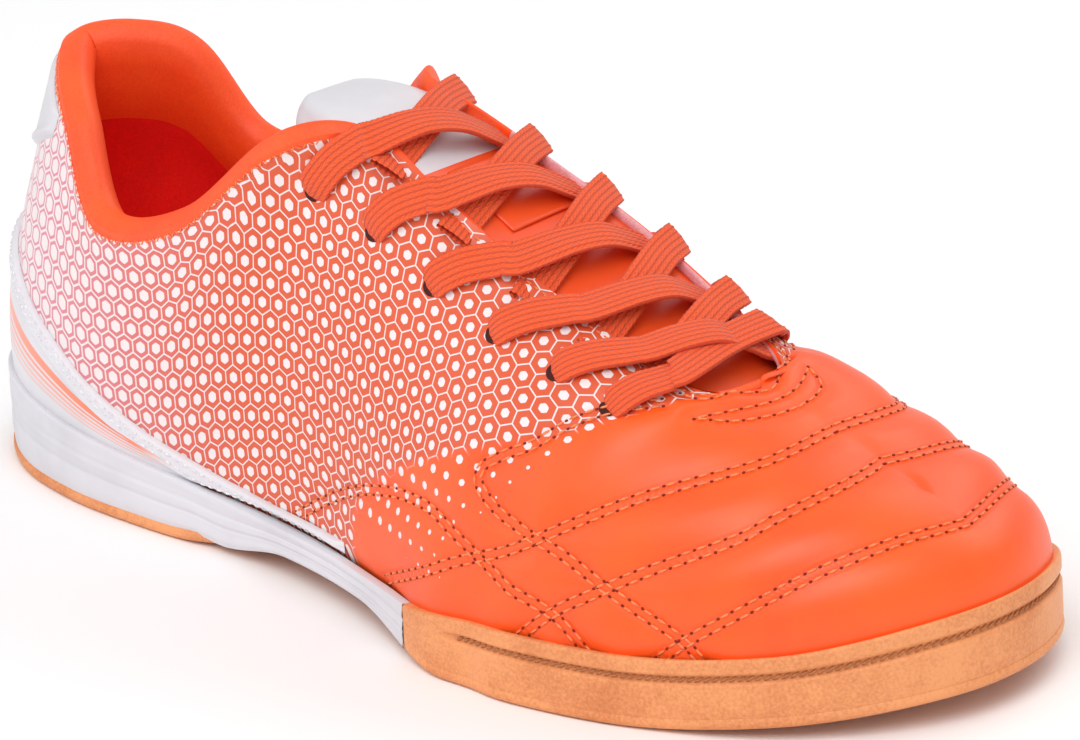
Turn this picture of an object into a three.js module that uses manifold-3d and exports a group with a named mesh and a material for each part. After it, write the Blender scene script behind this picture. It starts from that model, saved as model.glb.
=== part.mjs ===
// Indoor soccer shoe for the right foot, empty, standing on its sole.
// Millimetres, +X to the toe, +Y to the inner side of the foot, +Z up.
import * as THREE from "three";
import { mergeVertices } from "three/addons/utils/BufferGeometryUtils.js";
import Module from "manifold-3d";

const wasm = await Module();
wasm.setup();

// Driving dimensions
const soleLength = 287;
const ballWidth = 108; // across the sole at the ball of the foot
const waistWidth = 80; // across the sole under the arch
const heelWidth = 70; // across the sole at the heel
const heelHeight = 96; // floor to the collar behind the heel
const ankleHeight = 69; // floor to the low point of the collar
const instepHeight = 104; // floor to the top of the throat
const toeHeight = 62; // floor to the front end of the throat
const collarWidth = 68; // across the widest part of the collar
const throatWidth = 40; // between the flaps at the top of the throat
const upperWall = 2.2;
const collarPadding = 6; // added to the wall at the collar
const lastingMargin = 9; // turned in under the foot
const soleInset = 2.8; // outside of the sole to the upper at the footbed
const gumThickness = 3; // gum layer under the midsole
const footbedHeight = 8.5; // floor to the footbed at the ball
const heelLift = 6; // the footbed is higher at the heel by this
const cupHeight = 16; // wall of the gum cup at the ball
const heelWallHeight = 22; // side of the midsole behind the heel
const toeSpring = 7; // the toe end of the sole off the floor
const waistLift = 5.5; // the sole off the floor under the arch
const stitchGroove = 1.1; // depth of the groove round the gum cup
const ribDepth = 0.8; // ribs on the side of the midsole
const insoleThickness = 3;
const tongueThickness = 5;
const overlayThickness = 1.2; // counter and heel tab
const keeperThickness = 0.8; // strip on the tongue that holds the lace
const eyeletDiameter = 3.6;
const eyeletInset = 15; // from the edge of the throat to the holes
const laceWidth = 8;
const laceThickness = 1.7;
const laceCrown = 4.4; // the crossings over the line between the flaps
const clearance = 0.35; // between neighbouring pieces
const overlayGap = 0.6; // behind the middle of an overlay

const eyeletPairs = 6;
const eyeletRows = { top: 5.15, span: 3.85, power: 0.85 }; // foot rows counted from the front end of the throat
const spineRows = [8 / 3, 41 / 3]; // foot rows between which flat faces fan out from a middle line
const stationsPerRow = 3;
const cutRow = { along: 0.575, slope: 6 }; // front end of the midsole and how far its face leans

const halfWidths = { ball: ballWidth / 2, waist: waistWidth / 2, heel: heelWidth / 2 };
const openingWidths = { collar: collarWidth / 2, throat: throatWidth / 2 };
const heights = { heel: heelHeight, ankle: ankleHeight, instep: instepHeight, toe: toeHeight };

// A table's rows as objects, one named column for each value.
function table(columns, rows) {
  return rows.map((row) => Object.fromEntries(columns.map((column, i) => [column, row[i]])));
}

// The sole's outline from the toe round the outer side, the heel and the inner side. Across is a
// share of half the named width. The other columns shape the upper's section that rises there:
// lowUp and swell place the lower handle of its curve, out and down the upper one, and pad says
// how much of the collar's padding it has.
const footRows = table(
  ["place", "along", "across", "width", "lowUp", "swell", "out", "down", "turn", "pad"],
  [
    ["toeTip", 1.0, 0.16, "ball", 0.78, 0.085, 0.6, 0, 0, 0],
    ["toeOuterA", 0.987, -0.13, "ball", 0.78, 0.085, 0.6, 0, 0, 0],
    ["toeOuterB", 0.945, -0.455, "ball", 0.76, 0.085, 0.6, 0, 0, 0],
    ["toeOuterC", 0.88, -0.72, "ball", 0.7, 0.085, 0.6, 0, 0, 0],
    ["vampOuter", 0.785, -0.925, "ball", 0.62, 0.06, 0.58, 0, 0.15, 0],
    ["ballOuter", 0.7, -1.005, "ball", 0.55, 0.06, 0.55, 0, 0.4, 0],
    ["throatEndOuter", 0.655, -0.985, "ball", 0.52, 0.05, 0.5, 0, 0.42, 0],
    ["laceOuterA", 0.605, -0.965, "ball", 0.5, 0.04, 0.5, 0.03, 0.18, 0],
    ["laceOuterB", 0.53, -1.143, "waist", 0.46, 0.03, 0.5, 0.06, 0.05, 0],
    ["laceOuterC", 0.455, -1.02, "waist", 0.42, 0.02, 0.5, 0.08, 0, 0],
    ["throatTopOuter", 0.385, -0.94, "waist", 0.38, 0.02, 0.5, 0.14, 0, 0.25],
    ["quarterOuter", 0.315, -1.03, "heel", 0.36, 0.03, 0.45, 0.26, 0, 0.75],
    ["ankleOuter", 0.235, -1.018, "heel", 0.36, 0.05, 0.3, 0.35, 0, 1],
    ["heelOuterA", 0.15, -0.972, "heel", 0.36, 0.07, 0.5, 0.35, 0, 1],
    ["heelOuterB", 0.07, -0.8, "heel", 0.36, 0.09, 0.6, 0.35, 0, 1],
    ["heelOuterC", 0.02, -0.494, "heel", 0.36, 0.1, 0.65, 0.35, 0, 1],
    ["heelBack", 0.0, 0.0, "heel", 0.36, 0.1, 0.65, 0.35, 0, 1],
    ["heelInnerC", 0.02, 0.494, "heel", 0.36, 0.1, 0.65, 0.35, 0, 1],
    ["heelInnerB", 0.07, 0.8, "heel", 0.36, 0.09, 0.6, 0.35, 0, 1],
    ["heelInnerA", 0.15, 0.94, "heel", 0.36, 0.07, 0.5, 0.35, 0, 1],
    ["ankleInner", 0.235, 0.94, "heel", 0.36, 0.05, 0.3, 0.35, 0, 1],
    ["quarterInner", 0.315, 0.91, "heel", 0.36, 0.03, 0.45, 0.26, 0, 0.75],
    ["throatTopInner", 0.385, 0.77, "waist", 0.38, 0.02, 0.5, 0.2, 0, 0.25],
    ["laceInnerC", 0.455, 0.797, "waist", 0.42, 0.02, 0.5, 0.15, 0, 0],
    ["laceInnerB", 0.53, 0.905, "waist", 0.46, 0.03, 0.5, 0.13, 0.05, 0],
    ["laceInnerA", 0.605, 0.81, "ball", 0.5, 0.04, 0.5, 0.12, 0.18, 0],
    ["throatEndInner", 0.665, 0.92, "ball", 0.52, 0.05, 0.5, 0.06, 0.42, 0],
    ["ballInner", 0.72, 0.985, "ball", 0.55, 0.06, 0.55, 0, 0.4, 0],
    ["vampInner", 0.8, 1.0, "ball", 0.58, 0.06, 0.58, 0, 0.15, 0],
    ["toeInnerC", 0.885, 0.92, "ball", 0.66, 0.085, 0.6, 0, 0, 0],
    ["toeInnerB", 0.95, 0.75, "ball", 0.76, 0.085, 0.6, 0, 0, 0],
    ["toeInnerA", 0.988, 0.465, "ball", 0.78, 0.085, 0.6, 0, 0, 0],
  ],
);

// The ridge of the vamp, from above the toe back to the throat, a row for each of the first foot
// rows. Fall is the slope of the surface towards the toe.
const ridgeRows = table(
  ["along", "across", "height", "fall"],
  [
    [0.918, 0.148, 0.785, 0.33],
    [0.904, 0.148, 0.805, 0.33],
    [0.877, 0.13, 0.848, 0.33],
    [0.846, 0.093, 0.898, 0.34],
    [0.811, 0.056, 0.953, 0.35],
    [0.7825, 0.019, 1.0, 0.36],
  ],
);

// The edge of the opening, from the front end of the throat up the outer flap, round the collar
// and down the inner flap, a row for each further foot row.
const openingRows = table(
  ["place", "along", "across", "width", "height", "of", "fall"],
  [
    ["throatEnd", 0.7825, 0.05, "throat", 1.0, "toe", 0.36],
    ["throatEndOuter", 0.764, -0.55, "throat", 1.003, "toe", 0.38],
    ["laceOuterA", 0.695, -0.66, "throat", 1.11, "toe", 0.42],
    ["laceOuterB", 0.61, -0.8, "throat", 0.765, "instep", 0.45],
    ["laceOuterC", 0.526, -0.98, "throat", 0.91, "instep", 0.45],
    ["throatTopOuter", 0.46, -1.1, "throat", 1.0, "instep", 0.4],
    ["quarterOuter", 0.393, -0.956, "collar", 0.945, "instep", 0.2],
    ["ankleOuter", 0.291, -1.015, "collar", 1.1, "ankle", 0],
    ["heelOuterA", 0.185, -0.91, "collar", 0.99, "ankle", 0],
    ["heelOuterB", 0.122, -0.62, "collar", 0.895, "heel", 0],
    ["heelOuterC", 0.078, -0.33, "collar", 0.97, "heel", 0],
    ["heelBack", 0.051, 0.0, "collar", 1.0, "heel", 0],
    ["heelInnerC", 0.077, 0.36, "collar", 1.005, "heel", 0],
    ["heelInnerB", 0.113, 0.67, "collar", 0.945, "heel", 0],
    ["heelInnerA", 0.162, 0.89, "collar", 1.02, "ankle", 0],
    ["ankleInner", 0.27, 0.97, "collar", 1.03, "ankle", 0],
    ["quarterInner", 0.361, 0.82, "collar", 0.895, "instep", 0.2],
    ["throatTopInner", 0.415, 0.8, "throat", 0.955, "instep", 0.4],
    ["laceInnerC", 0.516, 0.85, "throat", 0.87, "instep", 0.45],
    ["laceInnerB", 0.604, 0.95, "throat", 0.77, "instep", 0.45],
    ["laceInnerA", 0.691, 0.9, "throat", 1.12, "toe", 0.42],
    ["throatEndInner", 0.765, 0.65, "throat", 1.0, "toe", 0.38],
  ],
);

// The sole from heel to toe. Spring, arch and bed are shares of the toe spring, the lift of the
// waist and the heel lift; wall is a share of the wall height that it names.
const soleRows = table(
  ["along", "spring", "arch", "bed", "wall", "of"],
  [
    [0.0, 0.4, 0, 1.0, 1.08, "heel"],
    [0.05, 0.08, 0, 1.0, 1.0, "heel"],
    [0.1, 0, 0, 1.0, 0.9, "heel"],
    [0.26, 0, 0, 0.85, 0.7, "heel"],
    [0.33, 0, 0.35, 0.7, 0.6, "heel"],
    [0.4, 0, 1.0, 0.6, 0.56, "heel"],
    [0.5, 0, 1.0, 0.42, 0.72, "cup"],
    [0.57, 0, 0.4, 0.2, 0.74, "cup"],
    [0.63, 0, 0, 0.06, 0.88, "cup"],
    [0.7, 0, 0, 0, 0.98, "cup"],
    [0.78, 0, 0, 0, 1.02, "cup"],
    [0.9, 0.4, 0, 0.45, 1.2, "cup"],
    [1.0, 1.0, 0, 1.3, 1.62, "cup"],
  ],
);

// Sides of the sole: share of the wall's height, and depth behind the outline.
const midsoleSide = table(
  ["up", "depth"],
  [
    [0, 2.2],
    [0.1, 0.4],
    [0.34, 0],
    [0.4, ribDepth],
    [0.46, 0],
    [0.6, 0],
    [0.66, ribDepth],
    [0.72, 0],
    [0.96, 0],
    [1, 0.3],
  ],
);
const cupSide = table(
  ["up", "depth"],
  [
    [0, 2.2],
    [0.1, 0.4],
    [0.3, 0],
    [0.64, 0],
    [0.68, stitchGroove],
    [0.76, stitchGroove],
    [0.8, 0],
    [0.96, 0],
    [1, 0.3],
  ],
);

// The tongue above the throat: how far it goes on back and up, and its width there.
const tongueRows = table(
  ["back", "up", "width"],
  [
    [11, 2.8, 0.95],
    [22, 5, 0.9],
    [32, 6, 0.8],
    [38, 5.2, 0.6],
  ],
);

// Top edge of the counter above the sole's wall, and the foot rows it passes.
const counterRows = table(
  ["row", "above"],
  [
    [8.6, 0.4],
    [10.4, 0.8],
    [11.4, 2],
    [12.4, 6.5],
    [13.4, 16.5],
    [14.4, 26],
    [16, 31],
    [17.6, 26],
    [18.6, 16.5],
    [19.6, 6.5],
    [20.6, 2],
    [21.6, 0.4],
  ],
);
const heelTab = { halfRows: 1.7, middle: 16, height: 30, sideHeight: 8, belowEdge: 2.5 };
const keeper = { from: 6.3, to: 7.7, width: 0.34 }; // lines of the tongue, and share of its width

const rows = footRows.length;
const throatRow = ridgeRows.length - 1;
const clamp01 = (value) => Math.min(Math.max(value, 0), 1);

function smooth(value) {
  const x = clamp01(value);
  return x * x * (3 - 2 * x);
}

function catmullRom(a, b, c, d, t) {
  const square = t * t;
  const cube = square * t;
  return 0.5 * (2 * b + (c - a) * t + (2 * a - 5 * b + 4 * c - d) * square + (3 * b - a - 3 * c + d) * cube);
}

// One column of a table as a smooth curve through its rows, round the loop where it is closed.
function along(list, read, place, closed) {
  const last = list.length - 1;
  const start = closed ? Math.floor(place) : Math.min(Math.max(Math.floor(place), 0), last - 1);
  const at = (i) => {
    if (closed) return read(list[((i % list.length) + list.length) % list.length]);
    if (i < 0) return 2 * read(list[0]) - read(list[1]);
    if (i > last) return 2 * read(list[last]) - read(list[last - 1]);
    return read(list[i]);
  };
  return catmullRom(at(start - 1), at(start), at(start + 1), at(start + 2), place - start);
}

// A value of the sole at x, level where two rows are level.
function soleValue(x, read) {
  const share = clamp01(x / soleLength);
  const last = soleRows.length - 1;
  let i = 0;
  while (i < last - 1 && share > soleRows[i + 1].along) i++;
  const secant = (k) =>
    (read(soleRows[k + 1]) - read(soleRows[k])) / (soleRows[k + 1].along - soleRows[k].along);
  const slope = (k) => {
    if (k === 0) return secant(0);
    if (k === last) return secant(last - 1);
    const before = secant(k - 1);
    const after = secant(k);
    return before * after <= 0 ? 0 : (2 * before * after) / (before + after);
  };
  const step = soleRows[i + 1].along - soleRows[i].along;
  const t = (share - soleRows[i].along) / step;
  const rise = read(soleRows[i + 1]) - read(soleRows[i]);
  const left = slope(i) * step;
  const right = slope(i + 1) * step;
  return read(soleRows[i]) + t * left + t * t * (3 * rise - 2 * left - right) + t * t * t * (left + right - 2 * rise);
}

const ground = (x) => soleValue(x, (row) => row.spring * toeSpring + row.arch * waistLift);
const footbed = (x) => soleValue(x, (row) => footbedHeight + row.bed * heelLift);
const wallTop = (x) => soleValue(x, (row) => row.wall * (row.of === "cup" ? cupHeight : heelWallHeight));

function outline(row) {
  return new THREE.Vector3(
    along(footRows, (r) => r.along, row, true) * soleLength,
    along(footRows, (r) => r.across * halfWidths[r.width], row, true),
    0,
  );
}

function outwards(row) {
  const step = outline(row + 0.02).sub(outline(row - 0.02));
  return new THREE.Vector3(step.y, -step.x, 0).normalize().negate();
}

function footPoint(row) {
  const point = outline(row).addScaledVector(outwards(row), -soleInset);
  point.z = footbed(point.x) + clearance;
  return point;
}

// A station's point on the line along the sole's middle, shared with the station opposite
function spinePoint(row) {
  const place = THREE.MathUtils.clamp(Math.min(row, rows - row), ...spineRows);
  const middle = outline(place).add(outline(rows - place)).multiplyScalar(0.5);
  middle.z = footbed(middle.x) + clearance;
  return middle;
}

// A point of the floor that the upper is turned in on, at a distance in from its foot
function onFloor(row, distance) {
  const foot = footPoint(row);
  const middle = spinePoint(row);
  return foot.lerp(middle, distance / foot.distanceTo(middle));
}

// Where the section that starts at a foot row ends: on the ridge, or on the edge of the opening.
function topPoint(row) {
  const place = ((row % rows) + rows) % rows;
  const onRidge = Math.min(place, rows - place);
  if (onRidge < throatRow) {
    const read = (name) => along(ridgeRows, (r) => r[name], onRidge, false);
    return {
      point: new THREE.Vector3(
        read("along") * soleLength,
        read("across") * halfWidths.ball,
        read("height") * heights.toe,
      ),
      fall: read("fall"),
    };
  }
  const v = place - throatRow;
  return {
    point: new THREE.Vector3(
      along(openingRows, (r) => r.along, v, true) * soleLength,
      along(openingRows, (r) => r.across * openingWidths[r.width], v, true),
      along(openingRows, (r) => r.height * heights[r.of], v, true),
    ),
    fall: along(openingRows, (r) => r.fall, v, true),
  };
}

const ribs = new Map();
function rib(row) {
  const key = row.toFixed(4);
  if (!ribs.has(key)) {
    const read = (name) => along(footRows, (r) => r[name], row, true);
    const foot = footPoint(row);
    const { point: top, fall } = topPoint(row);
    const out = new THREE.Vector3(foot.x - top.x, foot.y - top.y, 0);
    const width = out.length();
    out.normalize();
    out.x += read("turn");
    out.normalize();
    const rise = top.z - foot.z;
    const low = foot.clone().addScaledVector(outwards(row), read("swell") * halfWidths.ball);
    low.z += read("lowUp") * rise;
    const high = top.clone().addScaledVector(out, read("out") * width);
    high.z -= read("down") * rise + fall * out.x * read("out") * width;
    ribs.set(key, { curve: new THREE.CubicBezierCurve3(foot, low, high, top), fall });
  }
  return ribs.get(key);
}

const onRidge = (row) => {
  const place = ((row % rows) + rows) % rows;
  return Math.min(place, rows - place) <= throatRow;
};

// The outer face of the upper and its normal.
const skin = (row, t) => rib(row).curve.getPoint(clamp01(t));
function skinNormal(row, t) {
  if (t > 0.999 && onRidge(row)) return new THREE.Vector3(rib(row).fall, 0, 1).normalize();
  const across = skin(row + 0.03, t).sub(skin(row - 0.03, t));
  const up = skin(row, t + 0.01).sub(skin(row, t - 0.01));
  return up.cross(across).normalize();
}
const offSkin = (row, t, distance) => skin(row, t).addScaledVector(skinNormal(row, t), distance);

function wallAt(row, t) {
  const pad = clamp01(along(footRows, (r) => r.pad, row, true));
  return upperWall + pad * collarPadding * smooth((t - 0.5) / 0.4);
}

// How far up a section a height lies, and how far down from its top a length along it ends.
function shareAtHeight(row, z) {
  let low = 0;
  let high = 1;
  for (let i = 0; i < 24; i++) {
    const middle = (low + high) / 2;
    if (skin(row, middle).z < z) low = middle;
    else high = middle;
  }
  return (low + high) / 2;
}
function shareBelowTop(row, length) {
  const steps = 60;
  let left = length;
  let t = 1;
  while (left > 0 && t > 0) {
    left -= skin(row, t).distanceTo(skin(row, t - 1 / steps));
    t -= 1 / steps;
  }
  return clamp01(t);
}

// Solids from grids of points
function solidFrom(points, triangles) {
  const geometry = new THREE.BufferGeometry();
  geometry.setAttribute("position", new THREE.Float32BufferAttribute(points.flatMap((p) => p.toArray()), 3));
  geometry.setIndex(triangles);
  const merged = mergeVertices(geometry, 1e-3);
  const kept = [];
  const index = merged.index.array;
  for (let i = 0; i < index.length; i += 3) {
    const [a, b, c] = [index[i], index[i + 1], index[i + 2]];
    if (a !== b && b !== c && c !== a) kept.push(a, b, c);
  }
  const made = new wasm.Manifold(
    new wasm.Mesh({
      numProp: 3,
      vertProperties: new Float32Array(merged.getAttribute("position").array),
      triVerts: new Uint32Array(kept),
    }),
  );
  if (made.volume() >= 0) return made;
  for (let i = 0; i < kept.length; i += 3) [kept[i + 1], kept[i + 2]] = [kept[i + 2], kept[i + 1]];
  return new wasm.Manifold(
    new wasm.Mesh({
      numProp: 3,
      vertProperties: new Float32Array(merged.getAttribute("position").array),
      triVerts: new Uint32Array(kept),
    }),
  );
}

function solidOf(geometry) {
  const plain = geometry.clone();
  plain.deleteAttribute("normal");
  plain.deleteAttribute("uv");
  const merged = mergeVertices(plain, 1e-3);
  return new wasm.Manifold(
    new wasm.Mesh({
      numProp: 3,
      vertProperties: new Float32Array(merged.getAttribute("position").array),
      triVerts: new Uint32Array(merged.index.array),
    }),
  );
}

function quad(triangles, a, b, c, d) {
  triangles.push(a, b, c, a, c, d);
}

// Rings of equal length joined into a bar with flat ends.
function ringBar(rings) {
  const size = rings[0].length;
  const triangles = [];
  for (let i = 0; i < rings.length - 1; i++)
    for (let j = 0; j < size; j++) {
      const k = (j + 1) % size;
      quad(triangles, i * size + j, (i + 1) * size + j, (i + 1) * size + k, i * size + k);
    }
  const last = (rings.length - 1) * size;
  for (let j = 1; j < size - 1; j++) {
    triangles.push(0, j, j + 1);
    triangles.push(last, last + j + 1, last + j);
  }
  return solidFrom(rings.flat(), triangles);
}

// A sheet with a front grid and a back grid of points, closed round its four edges.
function sheet(front, back) {
  const rings = front.map((line, i) => [...line, ...back[i].toReversed()]);
  const size = rings[0].length;
  const half = front[0].length;
  const triangles = [];
  for (let i = 0; i < rings.length - 1; i++)
    for (let j = 0; j < size; j++) {
      const k = (j + 1) % size;
      quad(triangles, i * size + j, (i + 1) * size + j, (i + 1) * size + k, i * size + k);
    }
  const last = (rings.length - 1) * size;
  for (let j = 0; j < half - 1; j++) {
    quad(triangles, j, j + 1, size - 2 - j, size - 1 - j);
    quad(triangles, last + j, last + size - 1 - j, last + size - 2 - j, last + j + 1);
  }
  return solidFrom(rings.flat(), triangles);
}

const stationCount = rows * stationsPerRow;
const stations = Array.from({ length: stationCount }, (_, i) => i / stationsPerRow);
const outerShares = [0, 0.1, 0.22, 0.36, 0.5, 0.64, 0.78, 0.9, 1];
const innerShares = [0.9, 0.78, 0.64, 0.5, 0.36, 0.22];

// Direction in which the rim of the opening rises out of the wall.
function rimDirection(row) {
  const edge = topPoint(row + 0.04).point.sub(topPoint(row - 0.04).point);
  if (Math.abs(row - throatRow) < 0.01 || Math.abs(row - (rows - throatRow)) < 0.01) edge.set(0, -1, 0);
  return skinNormal(row, 1).cross(edge).normalize().negate();
}

function buildUpper() {
  const throat = throatRow * stationsPerRow;
  const points = [];
  const grid = stations.map((row) => {
    const line = [];
    const add = (point) => {
      points.push(point);
      line.push(points.length - 1);
    };
    const marginEnd = onFloor(row, lastingMargin);
    add(marginEnd);
    outerShares.forEach((t) => add(skin(row, t)));
    const wall = wallAt(row, 1);
    const top = skin(row, 1);
    const topInside = offSkin(row, 1, -wall);
    const rise = rimDirection(row);
    [0.22, 0.5, 0.78].forEach((share) => {
      const bulge = wall * 0.36 * Math.sin(Math.PI * share);
      add(top.clone().lerp(topInside, share).addScaledVector(rise, onRidge(row) ? 0 : bulge));
    });
    add(topInside);
    innerShares.forEach((t) => add(offSkin(row, t, -wallAt(row, t))));
    const corner = onFloor(row, upperWall);
    corner.z += upperWall;
    add(corner);
    const marginTop = marginEnd.clone();
    marginTop.z += upperWall;
    add(marginTop);
    return line;
  });
  const topIndex = outerShares.length;
  const insideIndex = topIndex + 4;
  const triangles = [];
  grid.forEach((line, i) => {
    const next = grid[(i + 1) % stationCount];
    const open = i >= throat && i < stationCount - throat;
    line.forEach((_, j) => {
      if (!open && j >= topIndex && j < insideIndex) return;
      const k = (j + 1) % line.length;
      quad(triangles, line[j], next[j], next[k], line[k]);
    });
  });
  const shell = solidFrom(points, triangles);
  return eyelets.reduce((solid, eyelet) => solid.subtract(eyeletCutter(eyelet)), shell);
}

// Eyelets in pairs from the top of the throat to its front end
const eyelets = [];
for (const side of [-1, 1])
  for (let pair = 0; pair < eyeletPairs; pair++) {
    const fromTop = (pair / (eyeletPairs - 1)) ** eyeletRows.power;
    const outerRow = throatRow + eyeletRows.top - fromTop * eyeletRows.span;
    const row = side < 0 ? outerRow : rows - outerRow;
    const share = shareBelowTop(row, eyeletInset);
    eyelets.push({ side, pair, row, share });
  }
const eyeletAt = (side, pair) => eyelets.find((e) => e.side === side && e.pair === pair);

function eyeletCutter({ row, share }) {
  const length = upperWall * 4;
  const geometry = new THREE.CylinderGeometry(eyeletDiameter / 2, eyeletDiameter / 2, length, 8);
  const turn = new THREE.Quaternion().setFromUnitVectors(new THREE.Vector3(0, 1, 0), skinNormal(row, share));
  geometry.applyQuaternion(turn);
  const centre = skin(row, share);
  geometry.translate(centre.x, centre.y, centre.z);
  return solidOf(geometry);
}

// A layer of the sole, with its side from a table, hollowed to take the foot of the upper
function soleLoft(side) {
  const rings = stations.map((row) => {
    const edge = outline(row);
    const out = outwards(row);
    const line = [];
    side.forEach(({ up, depth }) => {
      const point = edge.clone().addScaledVector(out, -depth);
      point.z = THREE.MathUtils.lerp(ground(point.x), wallTop(point.x), up);
      line.push(point);
    });
    const rimShare = shareAtHeight(row, wallTop(skin(row, 0.1).x));
    [1, 0.5].forEach((part) => line.push(offSkin(row, rimShare * part, clearance)));
    const corner = footPoint(row).addScaledVector(out, clearance);
    corner.z = footbed(corner.x);
    line.push(corner);
    return line;
  });
  const count = rings.length;
  const size = rings[0].length;
  const points = rings.flat();
  const triangles = [];
  rings.forEach((_, i) => {
    const next = (i + 1) % count;
    for (let j = 0; j < size - 1; j++)
      quad(triangles, i * size + j, next * size + j, next * size + j + 1, i * size + j + 1);
  });
  // Each of the two faces across the sole fans in to a line of points along its middle.
  [
    { level: size - 1, height: footbed, flip: false },
    { level: 0, height: ground, flip: true },
  ].forEach(({ level, height, flip }) => {
    const base = points.length;
    stations.forEach((row) => {
      const middle = spinePoint(row);
      middle.z = height(middle.x);
      points.push(middle);
    });
    rings.forEach((_, i) => {
      const next = (i + 1) % count;
      const corners = [i * size + level, next * size + level, base + next, base + i];
      quad(triangles, ...(flip ? corners.toReversed() : corners));
    });
  });
  return solidFrom(points, triangles);
}

// Everything behind the front end of the midsole and above the gum layer, as one extruded shape.
function midsoleRegion(grow) {
  const cut = cutRow.along * soleLength + grow;
  const shape = new THREE.Shape();
  const steps = 24;
  const far = -20;
  shape.moveTo(far, 90);
  for (let i = 0; i <= steps; i++) {
    const x = far + ((cut - far) * i) / steps;
    shape.lineTo(x, ground(x) + gumThickness - grow);
  }
  shape.lineTo(cut + cutRow.slope, 90);
  const geometry = new THREE.ExtrudeGeometry(shape, { depth: 2 * ballWidth, bevelEnabled: false });
  geometry.rotateX(Math.PI / 2);
  geometry.translate(0, ballWidth, 0);
  return solidOf(geometry);
}

function buildInsole() {
  const low = clearance + upperWall;
  const edge = [];
  const middle = [];
  const points = [];
  const add = (point, up) => {
    const raised = point.clone();
    raised.z += up;
    points.push(raised);
    return points.length - 1;
  };
  stations.forEach((row) => {
    const rim = onFloor(row, upperWall + clearance * 2);
    const spine = spinePoint(row);
    edge.push([add(rim, low), add(rim, low + insoleThickness)]);
    middle.push([add(spine, low), add(spine, low + insoleThickness)]);
  });
  const triangles = [];
  edge.forEach(([under, over], i) => {
    const next = (i + 1) % edge.length;
    quad(triangles, under, edge[next][0], edge[next][1], over);
    quad(triangles, over, edge[next][1], middle[next][1], middle[i][1]);
    quad(triangles, under, middle[i][0], middle[next][0], edge[next][0]);
  });
  return solidFrom(points, triangles);
}

// The tongue's upper face, from side to side under the flaps, at a row of the throat.
const tongueShares = [0.7, 0.82, 0.92, 1];
const tongueSlack = 0.6; // between the tongue and the flaps, beyond the clearance
const tongueTuck = { row: 6.3, depth: 2.1 }; // the tongue goes deeper towards the vamp from this row on
const tongueToe = { forward: 9, down: 5, width: 0.85 }; // the front end under the vamp
const tongueAcross = 15;
function tongueLine(row) {
  const depth = clearance + tongueSlack + Math.max(tongueTuck.row - row, 0) * tongueTuck.depth;
  const under = (place, t) => offSkin(place, t, -wallAt(place, t) - depth);
  const outer = tongueShares.map((t) => under(row, t));
  const inner = tongueShares.toReversed().map((t) => under(rows - row, t));
  const curve = new THREE.CatmullRomCurve3([...outer, ...inner], false, "centripetal");
  return curve.getSpacedPoints(tongueAcross - 1);
}

function tongueFace() {
  const lines = [5.4, 5.8, 6.4, 7, 7.6, 8.2, 8.8, 9.4].map(tongueLine);
  const front = lines[0][(tongueAcross - 1) / 2];
  const { forward, down, width: frontWidth } = tongueToe;
  lines.unshift(
    lines[0].map((p) => {
      const moved = p.clone().sub(front);
      moved.y *= frontWidth;
      return moved.add(front).add(new THREE.Vector3(forward, 0, -down));
    }),
  );
  const last = lines[lines.length - 1];
  const middle = last[(tongueAcross - 1) / 2];
  tongueRows.forEach(({ back, up, width }) => {
    lines.push(
      last.map((p) => {
        const moved = p.clone().sub(middle);
        moved.y *= width;
        moved.z *= width;
        moved.x *= 0.4;
        return moved.add(middle).add(new THREE.Vector3(-back, 0, up));
      }),
    );
  });
  return lines;
}
const tongueTop = tongueFace();

function gridNormal(grid, i, j) {
  const a = grid[Math.max(i - 1, 0)][j];
  const b = grid[Math.min(i + 1, grid.length - 1)][j];
  const c = grid[i][Math.max(j - 1, 0)];
  const d = grid[i][Math.min(j + 1, grid[i].length - 1)];
  const normal = b.clone().sub(a).cross(d.clone().sub(c)).normalize();
  return normal.z < 0 ? normal.negate() : normal;
}

function buildTongue() {
  const back = tongueTop.map((line, i) =>
    line.map((p, j) => {
      const edge = Math.min(j, tongueAcross - 1 - j) / 3;
      const end = Math.min(tongueTop.length - 1 - i, 2) / 2;
      const share = 0.45 + 0.55 * Math.min(clamp01(edge), clamp01(0.3 + end));
      return p.clone().addScaledVector(gridNormal(tongueTop, i, j), -tongueThickness * share);
    }),
  );
  return sheet(tongueTop, back);
}

// A point of the tongue's upper face by row and share across, lifted off it.
function onTongue(line, across, lift) {
  const i = Math.min(Math.max(line, 0), tongueTop.length - 1.001);
  const j = clamp01(across) * (tongueAcross - 1);
  const [i0, j0] = [Math.floor(i), Math.min(Math.floor(j), tongueAcross - 2)];
  const near = tongueTop[i0][j0].clone().lerp(tongueTop[i0][j0 + 1], j - j0);
  const far = tongueTop[i0 + 1][j0].clone().lerp(tongueTop[i0 + 1][j0 + 1], j - j0);
  return near.lerp(far, i - i0).addScaledVector(gridNormal(tongueTop, i0, j0), lift);
}

// An overlay on the upper between two rows, from a low share to a high share of each section.
function overlay(from, to, lowShare, highShare, steps, levels) {
  const front = [];
  const back = [];
  for (let i = 0; i <= steps; i++) {
    const row = from + ((to - from) * i) / steps;
    const [low, high] = [lowShare(row), highShare(row)];
    const shares = Array.from({ length: levels + 1 }, (_, k) => low + ((high - low) * k) / levels);
    front.push(shares.map((t) => offSkin(row, t, overlayGap + overlayThickness)));
    back.push(shares.map((t) => offSkin(row, t, overlayGap)));
  }
  return sheet(front, back);
}

function counterAbove(row) {
  let i = 0;
  while (i < counterRows.length - 2 && row > counterRows[i + 1].row) i++;
  const [a, b] = [counterRows[i], counterRows[i + 1]];
  return THREE.MathUtils.lerp(a.above, b.above, (row - a.row) / (b.row - a.row));
}

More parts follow.
